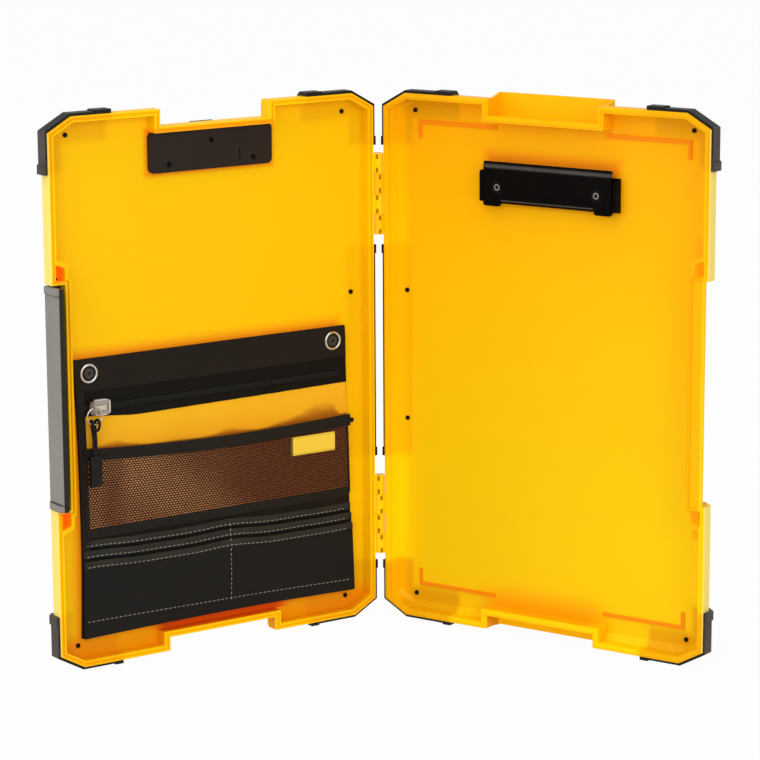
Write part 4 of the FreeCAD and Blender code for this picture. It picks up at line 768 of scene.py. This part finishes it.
# Painted shade: the band darkens to orange towards its foot and to brown in painted fold shadows above the
# mesh's binding.
fold = band_cloth.noise(band_cloth.stretched(band_cloth.map, (22.0, 44.0, 1.0)), 1.0, 3.0, 0.5)
band_across = (POUCH_OUTER * MM - band_cloth.out) / BAND_RUN
binding_line = 0.1576 - band_across * 0.0029 - band_across * (1 - band_across) * 0.015
tuck = band_cloth.ramp(band_across, 0.66, 0.92) * (1 - band_cloth.ramp(band_across, 0.945, 0.985))
for start, end, size in TUCKS:
    tuck = tuck + band_cloth.band(band_across, start, end, 0.06) * size
tuck_high = tuck * (fold * 2.4 - 0.35) * 0.015 + 0.0012
tuck_shade = 1 - band_cloth.ramp((band_cloth.rise - binding_line) / tuck_high, 0.1, 1.0)
low_down = 1 - band_cloth.ramp(band_cloth.rise, 0.147, 0.174)
band_colour = band_cloth.mix(low_down * (0.3 + fold * 0.5), band_cloth.colour, srgb(232, 138, 8))
band_colour = band_cloth.mix(tuck_shade * 0.85, band_colour, srgb(150, 74, 4))
band_height = band_cloth.threads * 0.06 + fold * (0.4 + low_down * 1.6)
band_cloth.shade(Base_Color=band_colour, Normal=band_cloth.bump(band_height, 0.0018))


def band_relief(out, up, across, rise):
    slack = min(max((176 - up) / 20, 0), 1)
    return slack * (0.2 + 0.3 * math.sin(out * 0.062 + 0.8) + 0.18 * math.sin(out * 0.135 + up * 0.09))


band = cloth_panel("pouch_band_cloth", pouch_edges(0.6, 6.0), BAND_LOW, BAND_HIGH, depth=7.9, thick=0.8,
                   columns=130, rows=46, relief=band_relief)
band.data.materials.append(band_cloth.material)
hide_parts("pouch_band")

# Mesh pocket: a close black knit over the yellow band, whose holes show it as gold on brown, inside
# a frame of folded black tape that is thickest along the open top.
MESH_LOW, MESH_HIGH = 94.6, 157.6
HOLE_WIDE, HOLE_HIGH = 0.0024, 0.0018
knit = Finish("open_black_knit")
knit_chart, knit_out, knit_rise = knit.chart()
knit_wobble = knit.noise(knit_chart, 260.0, 2.0) * 0.5
row_place = knit_rise / HOLE_HIGH + knit_wobble
odd = (row_place.whole() * 0.5).part()
course = row_place.part() - 0.5
lean = (odd > 0.25) * 2 - 1
column = (knit_out / HOLE_WIDE + knit_wobble + odd + course * lean * 0.3).part() - 0.5
hole_depth = 1 - (column * column * 5.0 + course * course * 5.0)
knit_hole = knit.ramp(hole_depth, 0.25, 0.85)
knit_sheen = knit.noise(knit_chart, 40.0, 3.0)
# Painted light: the knit is lighter towards the pouch's outer side and in a painted highlight along a
# diagonal fold, and darker in the painted shade of a dent.
fold_away = abs(knit_out * 0.62 - knit_rise * 0.78 - 0.0158)
knit_fold_highlight = (1 - knit.ramp(fold_away, 0.004, 0.034)) * (0.6 + knit_sheen * 0.7)
knit_dent_shade = 1 - knit.ramp(abs(knit_out + knit_sheen * 0.02 - 0.236), 0.002, 0.015)
knit_light = knit.ramp(knit_out + knit_sheen * 0.06, 0.12, 0.27) * 0.55 + knit_fold_highlight * 0.45
knit_light = knit_light * (1 - knit_dent_shade * 0.55)
knit_yarn = knit.mix(knit_light, srgb(38, 17, 8), srgb(56, 29, 14))
knit_behind = knit.mix(knit_light, srgb(142, 82, 46), srgb(214, 156, 104))
knit.shade(Base_Color=knit.mix(knit_hole, knit_yarn, knit_behind), Roughness=0.5 + knit_sheen * 0.2,
           Normal=knit.bump(hole_depth * -1.0, 0.0004), Specular_IOR_Level=0.12)


def mesh_relief(out, up, across, rise):
    return 0.3 * math.sin(math.pi * rise) * math.sin(out * 0.05 + 0.5)


def mesh_sag(out, across, rise):
    return -(2.9 * across + 3.75 * math.sin(math.pi * across)) * rise ** 1.5


def top_sag(out, across, rise):
    return mesh_sag(out, across, 1.0)


mesh = cloth_panel("mesh_pocket_knit", pouch_edges(1, 3), MESH_LOW, MESH_HIGH - 5, depth=6.5, thick=0.5,
                   columns=110, rows=34, relief=mesh_relief, drift=mesh_sag)
mesh.data.materials.append(knit.material)
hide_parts("mesh_pocket")

binding_finish = woven("folded_black_tape", srgb(14, 12, 10), srgb(39, 36, 32), pitch=0.0008, roughness=0.6)


def tape_crown(out, up, across, rise):
    return 0.4 * (1 - (2 * rise - 1) ** 4)


def side_crown(out, up, across, rise):
    return 0.4 * (1 - (2 * across - 1) ** 4)


frame_tapes = [
    cloth_panel("mesh_frame_top", pouch_edges(-1.2, 3), MESH_HIGH - 9, MESH_HIGH, depth=5.9, thick=0.9,
                columns=120, rows=8, relief=tape_crown, drift=top_sag),
    cloth_panel("mesh_frame_foot", pouch_edges(3, 3), MESH_LOW - 3, MESH_LOW + 4, depth=6.0, thick=0.8,
                columns=110, rows=8, relief=tape_crown),
    cloth_panel("mesh_frame_outer", lambda up: (outer_edge(up) - 2.8, outer_edge(up) - 5.8),
                MESH_LOW, MESH_HIGH - 4, depth=6.0, thick=0.8, columns=5, rows=44, relief=side_crown),
    cloth_panel("mesh_frame_spine", lambda up: (spine_edge(up) + 2.6, spine_edge(up) + 0.8),
                MESH_LOW, MESH_HIGH - 6, depth=6.0, thick=0.8, columns=4, rows=44, relief=side_crown),
]
for tape_piece in frame_tapes:
    tape_piece.data.materials.append(binding_finish.material)
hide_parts("mesh_binding")

# Woven tab: a bare yellow label, folded under and sewn to the mesh near the spine, with a woven
# line along its upper and lower edges.
LABEL_LEFT, LABEL_TOP, LABEL_WIDE, LABEL_HIGH = 75.9, 143.0, 39.0, 14.0
tab_weave = woven("bare_yellow_label", srgb(255, 208, 40), srgb(255, 228, 92), pitch=0.0006, roughness=0.55)
label_rise = abs(tab_weave.rise - (LABEL_TOP - LABEL_HIGH / 2) * MM)
label_lines = tab_weave.band(label_rise, 0.0058, 0.0064, 0.0002)
# Painted shade along the label's folded outer edge.
label_fold_shade = tab_weave.ramp(tab_weave.out, (LABEL_LEFT - 2.4) * MM, (LABEL_LEFT - 1.6) * MM)
label_colour = tab_weave.mix(label_lines * 0.5, tab_weave.colour, srgb(196, 128, 10))
tab_weave.shade(Base_Color=tab_weave.mix(label_fold_shade * 0.85, label_colour, srgb(40, 26, 14)))
label = cloth_panel("pouch_woven_label", lambda up: (LABEL_LEFT, LABEL_LEFT - LABEL_WIDE),
                    LABEL_TOP - LABEL_HIGH, LABEL_TOP, depth=5.5, thick=0.4, columns=30, rows=14,
                    relief=lambda out, up, across, rise: 0.1 * math.sin(math.pi * rise))
label.data.materials.append(tab_weave.material)
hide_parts("pouch_label")

# Pen pockets: three stepped pockets of black cloth, each with a wide charcoal hem, lying one on
# the other and stitched to the back along the foot and down the middle.
PENS = (("back", 88.2, 7.3), ("middle", 80.7, 6.1), ("front", 73.2, 4.9))
FRONT_DEPTH = PENS[2][2]
HEM = 5.2


def pen_drift(out, across, rise):
    """The pockets' mouths hang a little lower towards the spine, in soft waves."""
    wave = 1.1 * math.sin(out * 0.052 + 1.0) * math.sin(math.pi * across) + 0.3 * math.sin(out * 0.11)
    return rise * (2.1 * (1 - 2 * across) + wave) + foot_bow(out, rise)


for name, top, depth in PENS:
    pen_cloth = woven(f"pen_cloth_{name}", srgb(8, 8, 8), srgb(34, 33, 31), pitch=0.0008, roughness=0.6)
    hem = pen_cloth.ramp(pen_cloth.rise, (top - HEM - 0.3) * MM, (top - HEM + 0.3) * MM)
    satin = pen_cloth.mix(pen_cloth.cloud, srgb(31, 31, 26), srgb(58, 57, 50))
    # Painted shadow: the back and middle pockets are darkened in a band just below their hems.
    hem_shadow = pen_cloth.band(pen_cloth.rise, (top - 9) * MM, (top - HEM - 0.4) * MM, 0.0004)
    pen_colour = pen_cloth.mix(hem_shadow * (0.0 if name == "front" else 0.8), pen_cloth.colour, srgb(4, 4, 4))
    pen_cloth.shade(Base_Color=pen_cloth.mix(hem, pen_colour, satin))

    def hem_relief(out, up, across, rise, top=top):
        turned = 0.45 if up > top - HEM else 0.0
        round_top = min((top - up) / 1.2, 1) - 1
        drawn_in = 0.08 * math.sin(out * 1.9) if up > top - HEM - 2 else 0.0
        return turned + 0.35 * round_top + drawn_in

    pocket = cloth_panel(f"pen_pocket_{name}_cloth", pouch_edges(0.4, 0.4), POUCH_FOOT, top, depth,
                         thick=CLOTH * 0.8, columns=130, rows=46, relief=hem_relief, drift=pen_drift)
    pocket.data.materials.append(pen_cloth.material)
    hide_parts(f"pen_pocket_{name}")

# Stitching: pale grey thread in long lockstitches, sewn through all the layers. One row runs along
# each pocket's hem, one along the pouch's foot and one down the middle of the pockets.
thread = Finish("pale_grey_thread")
thread_twist = thread.noise(thread.place(), 2400.0, 2.0)
thread.shade(Base_Color=thread.mix(thread_twist, srgb(128, 126, 120), srgb(190, 187, 180)), Roughness=0.7,
             Normal=thread.bump(thread_twist, 0.00006))
STITCH, STITCH_GAP, THREAD, SPACING = 2.5, 1.2, 0.25, 4.0
MIDDLE_SEAM = 130.0
bpy.ops.object.select_all(action="DESELECT")
bpy.ops.mesh.primitive_uv_sphere_add(segments=8, ring_count=6, radius=1.0)
stitch = bpy.context.object


def stitch_row(name, start, end, depth, drift=None):
    """A row of stitches between two points of the pouch's front, each lying on the cloth."""
    run = math.hypot(end[0] - start[0], end[1] - start[1])
    count = int(run / (STITCH + STITCH_GAP))
    bpy.ops.object.select_all(action="DESELECT")
    stitch.select_set(True)
    bpy.context.view_layer.objects.active = stitch
    bpy.ops.object.duplicate()
    row_piece = bpy.context.object
    row_piece.name = name
    repeat(row_piece, SPACING, count)
    along = ((end[0] - start[0]) / run, (end[1] - start[1]) / run)
    for vertex in row_piece.data.vertices:
        number = int((vertex.co.x + SPACING / 2) // SPACING)
        reach = (number + 0.5) * (STITCH + STITCH_GAP) + (vertex.co.x - SPACING * number) * STITCH / 2
        side = vertex.co.y * THREAD
        out = start[0] + along[0] * reach - along[1] * side
        up = start[1] + along[1] * reach + along[0] * side
        across = (outer_edge(up) - out) / (outer_edge(up) - spine_edge(up))
        lift = drift(out, across, (up - POUCH_FOOT) / (start[1] - POUCH_FOOT)) if drift else 0.0
        vertex.co = lid_point(out, depth - swell(out, up) - vertex.co.z * THREAD, up + lift)
    bpy.ops.object.shade_smooth()
    row_piece.data.materials.append(thread.material)
    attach(row_piece, "lid")


for name, top, depth in PENS:
    seam = top - HEM + 0.9
    stitch_row(f"hem_stitching_{name}", (outer_edge(seam) - 2, seam), (spine_edge(seam) + 3, seam),
               depth - 0.5, pen_drift)
stitch_row("foot_stitching", (outer_edge(31) - 2, 31.0), (spine_edge(29) + 3, 27.0), FRONT_DEPTH - 0.05,
           lambda out, across, rise: foot_bow(out, 0.18))
stitch_row("middle_stitching", (MIDDLE_SEAM, 28.0), (MIDDLE_SEAM, 88.0), FRONT_DEPTH - 0.3)
bpy.data.objects.remove(stitch)

# Zip pull: a doubled black cord, hitched over a wire ring on the slider's eye, with a ribbed tab
# moulded on its ends. The slider is cast in one piece, with a bridge that the ring hangs from.
PULL_OUT, PULL_DEPTH, RING_FOOT, TAB_TOP = 242.1, 1.85, 175.6, 152.6
TAB_WIDE, TAB_THICK, TAB_LONG, TAB_RIBS = 9.4, 3.8, 21.6, 7
SLIDER_FRONT, BRIDGE_WIDE, BRIDGE_THICK = 4.4, 4.2, 0.7
cord_half = [(0.9, 0.3, TAB_TOP - 0.2), (0.95, 0.3, 161.0), (1.0, 1.0, 169.0), (1.4, 2.3, RING_FOOT - 1.6),
             (2.0, 2.3, RING_FOOT + 3.0), (2.7, -2.3, RING_FOOT + 3.0), (2.5, -2.3, RING_FOOT - 2.2),
             (0.9, -2.4, RING_FOOT - 4.2)]
cord_route = cord_half + [(-side, front, up) for side, front, up in reversed(cord_half)]
cord_curve = bpy.data.curves.new("pull_cord_line", "CURVE")
cord_curve.dimensions = "3D"
cord_line = cord_curve.splines.new("NURBS")
cord_line.points.add(len(cord_route) - 1)
for point, (sideways, behind, up) in zip(cord_line.points, cord_route):
    point.co = (*lid_point(PULL_OUT + sideways, PULL_DEPTH + behind, up), 1.0)
cord_line.order_u = 3
cord_line.use_endpoint_u = True
cord_curve.resolution_u = 12
cord_curve.bevel_depth = 1.0 * MM
cord_curve.bevel_resolution = 4
cord_curve.use_fill_caps = True
pull_cord = bpy.data.objects.new("pull_cord_braid", cord_curve)
bpy.context.collection.objects.link(pull_cord)
braid = Finish("black_braid")
braid_place = braid.place()
braid_rise = braid.along(braid_place, HINGE, UP)
braid_out = braid.along(braid_place, HINGE, LID_OUT)
plait = abs(((braid_rise + braid_out) * 4200.0).sine()) + abs(((braid_rise - braid_out) * 4200.0).sine())
braid.shade(Base_Color=braid.mix(plait * 0.5, srgb(8, 8, 8), srgb(34, 32, 30)), Roughness=0.6,
            Normal=braid.bump(plait, 0.0001), Specular_IOR_Level=0.15)
cord_curve.materials.append(braid.material)
finish_with(nickel, "pull_ring")
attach(pull_cord, "zip_pull")
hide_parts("pull_cord")
tuple(lid_point(PULL_OUT + 0.9, PULL_DEPTH + 0.3, TAB_TOP))

tab_rubber = Finish("charcoal_tab")
tab_place = tab_rubber.place()
tab_grain = tab_rubber.noise(tab_place, 1500.0, 2.0)
tab_rub = tab_rubber.ramp(tab_rubber.noise(tab_place, 160.0, 4.0), 0.45, 0.75)
tab_rubber.shade(Base_Color=tab_rubber.mix(tab_rub * 0.6, srgb(20, 19, 18), srgb(40, 38, 36)),
                 Roughness=0.5 + tab_rub * 0.15, Specular_IOR_Level=0.15,
                 Normal=tab_rubber.bump(tab_grain, 0.00005))
pull_tab = block("pull_tab_moulding", cuts=19)
for vertex in pull_tab.data.vertices:
    x, y, z = vertex.co
    waist = 1 - 0.1 * math.cos(math.pi * z) ** 2
    ribbed = abs(z) < 0.36 and abs(x) < 0.36
    rib = 0.16 * abs(math.sin(math.pi * TAB_RIBS * (z + 0.5))) if ribbed else 0.0
    crown = 1 - 0.2 * (2 * x) ** 4 - 0.25 * (2 * z) ** 8
    out = PULL_OUT + x * TAB_WIDE * waist
    depth = PULL_DEPTH + y * TAB_THICK * crown * (1 - rib)
    vertex.co = lid_point(out, depth, TAB_TOP + (z - 0.5) * TAB_LONG)
round_edges(pull_tab, 0.6 * MM, 3)
pull_tab.data.materials.append(tab_rubber.material)
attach(pull_tab, "zip_pull")
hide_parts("pull_tab")

zip_metal = Finish("cast_zip_metal")
metal_place = zip_metal.place()
metal_out = zip_metal.along(metal_place, HINGE, LID_OUT)
metal_up = zip_metal.along(metal_place, HINGE, UP)
tail, nose, slider_low, slider_high = spans("zip_slider", LID_OUT)
slider_middle, slider_half = (slider_low + slider_high) / 2, (slider_high - slider_low) / 2
metal_marks = zip_metal.noise(metal_place, 420.0, 4.0, 0.6)
# Painted highlight: the slider is lighter along its edges, and painted shade darkens its groove; both also
# shape its bump.
metal_edge = (metal_out - tail).lowest(slider_half - abs(metal_up - slider_middle))
metal_edge_highlight = 1 - zip_metal.ramp(metal_edge, 0.0003, 0.0010)
metal_groove = zip_metal.band(metal_out - tail, 0.0018, 0.0025, 0.0002)
metal_groove = metal_groove * zip_metal.band(abs(metal_up - slider_middle), -0.01, 0.0026, 0.0003)
metal_height = metal_edge_highlight * 0.6 + metal_marks * 0.2 - metal_groove
metal_colour = zip_metal.mix(metal_marks, srgb(136, 127, 119), srgb(176, 168, 160))
metal_colour = zip_metal.mix(metal_edge_highlight, metal_colour, srgb(222, 214, 205))
zip_metal.shade(Base_Color=zip_metal.mix(metal_groove * 0.8, metal_colour, srgb(70, 60, 52)), Metallic=0.55,
                Roughness=0.34 + metal_marks * 0.2, Normal=zip_metal.bump(metal_height, 0.0004))
finish_with(zip_metal, "zip_slider")

bridge = block("slider_bridge", cuts=11)
bridge_low, bridge_high = tail / MM + 3.0, nose / MM - 1.2
for vertex in bridge.data.vertices:
    x, y, z = vertex.co
    waist = 1 - 0.3 * math.sin(math.pi * (x + 0.5))
    raised = 0.55 * math.sin(math.pi * (x + 0.5)) ** 0.5 if abs(x) < 0.5 else 0.0
    out = (bridge_low + bridge_high) / 2 + x * (bridge_high - bridge_low)
    depth = SLIDER_FRONT - 0.15 + y * BRIDGE_THICK - raised
    vertex.co = lid_point(out, depth, slider_middle / MM - STAND + z * BRIDGE_WIDE * waist)
round_edges(bridge, 0.2 * MM, 2)
bridge_metal = Finish("polished_bridge_metal")
bridge_marks = bridge_metal.noise(bridge_metal.place(), 600.0, 4.0, 0.6)
bridge_metal.shade(Base_Color=bridge_metal.mix(bridge_marks, srgb(166, 158, 150), srgb(226, 219, 211)),
                   Metallic=0.6, Roughness=0.26 + bridge_marks * 0.2,
                   Normal=bridge_metal.bump(bridge_marks, 0.00006))
bridge.data.materials.append(bridge_metal.material)
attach(bridge, "zip_slider")
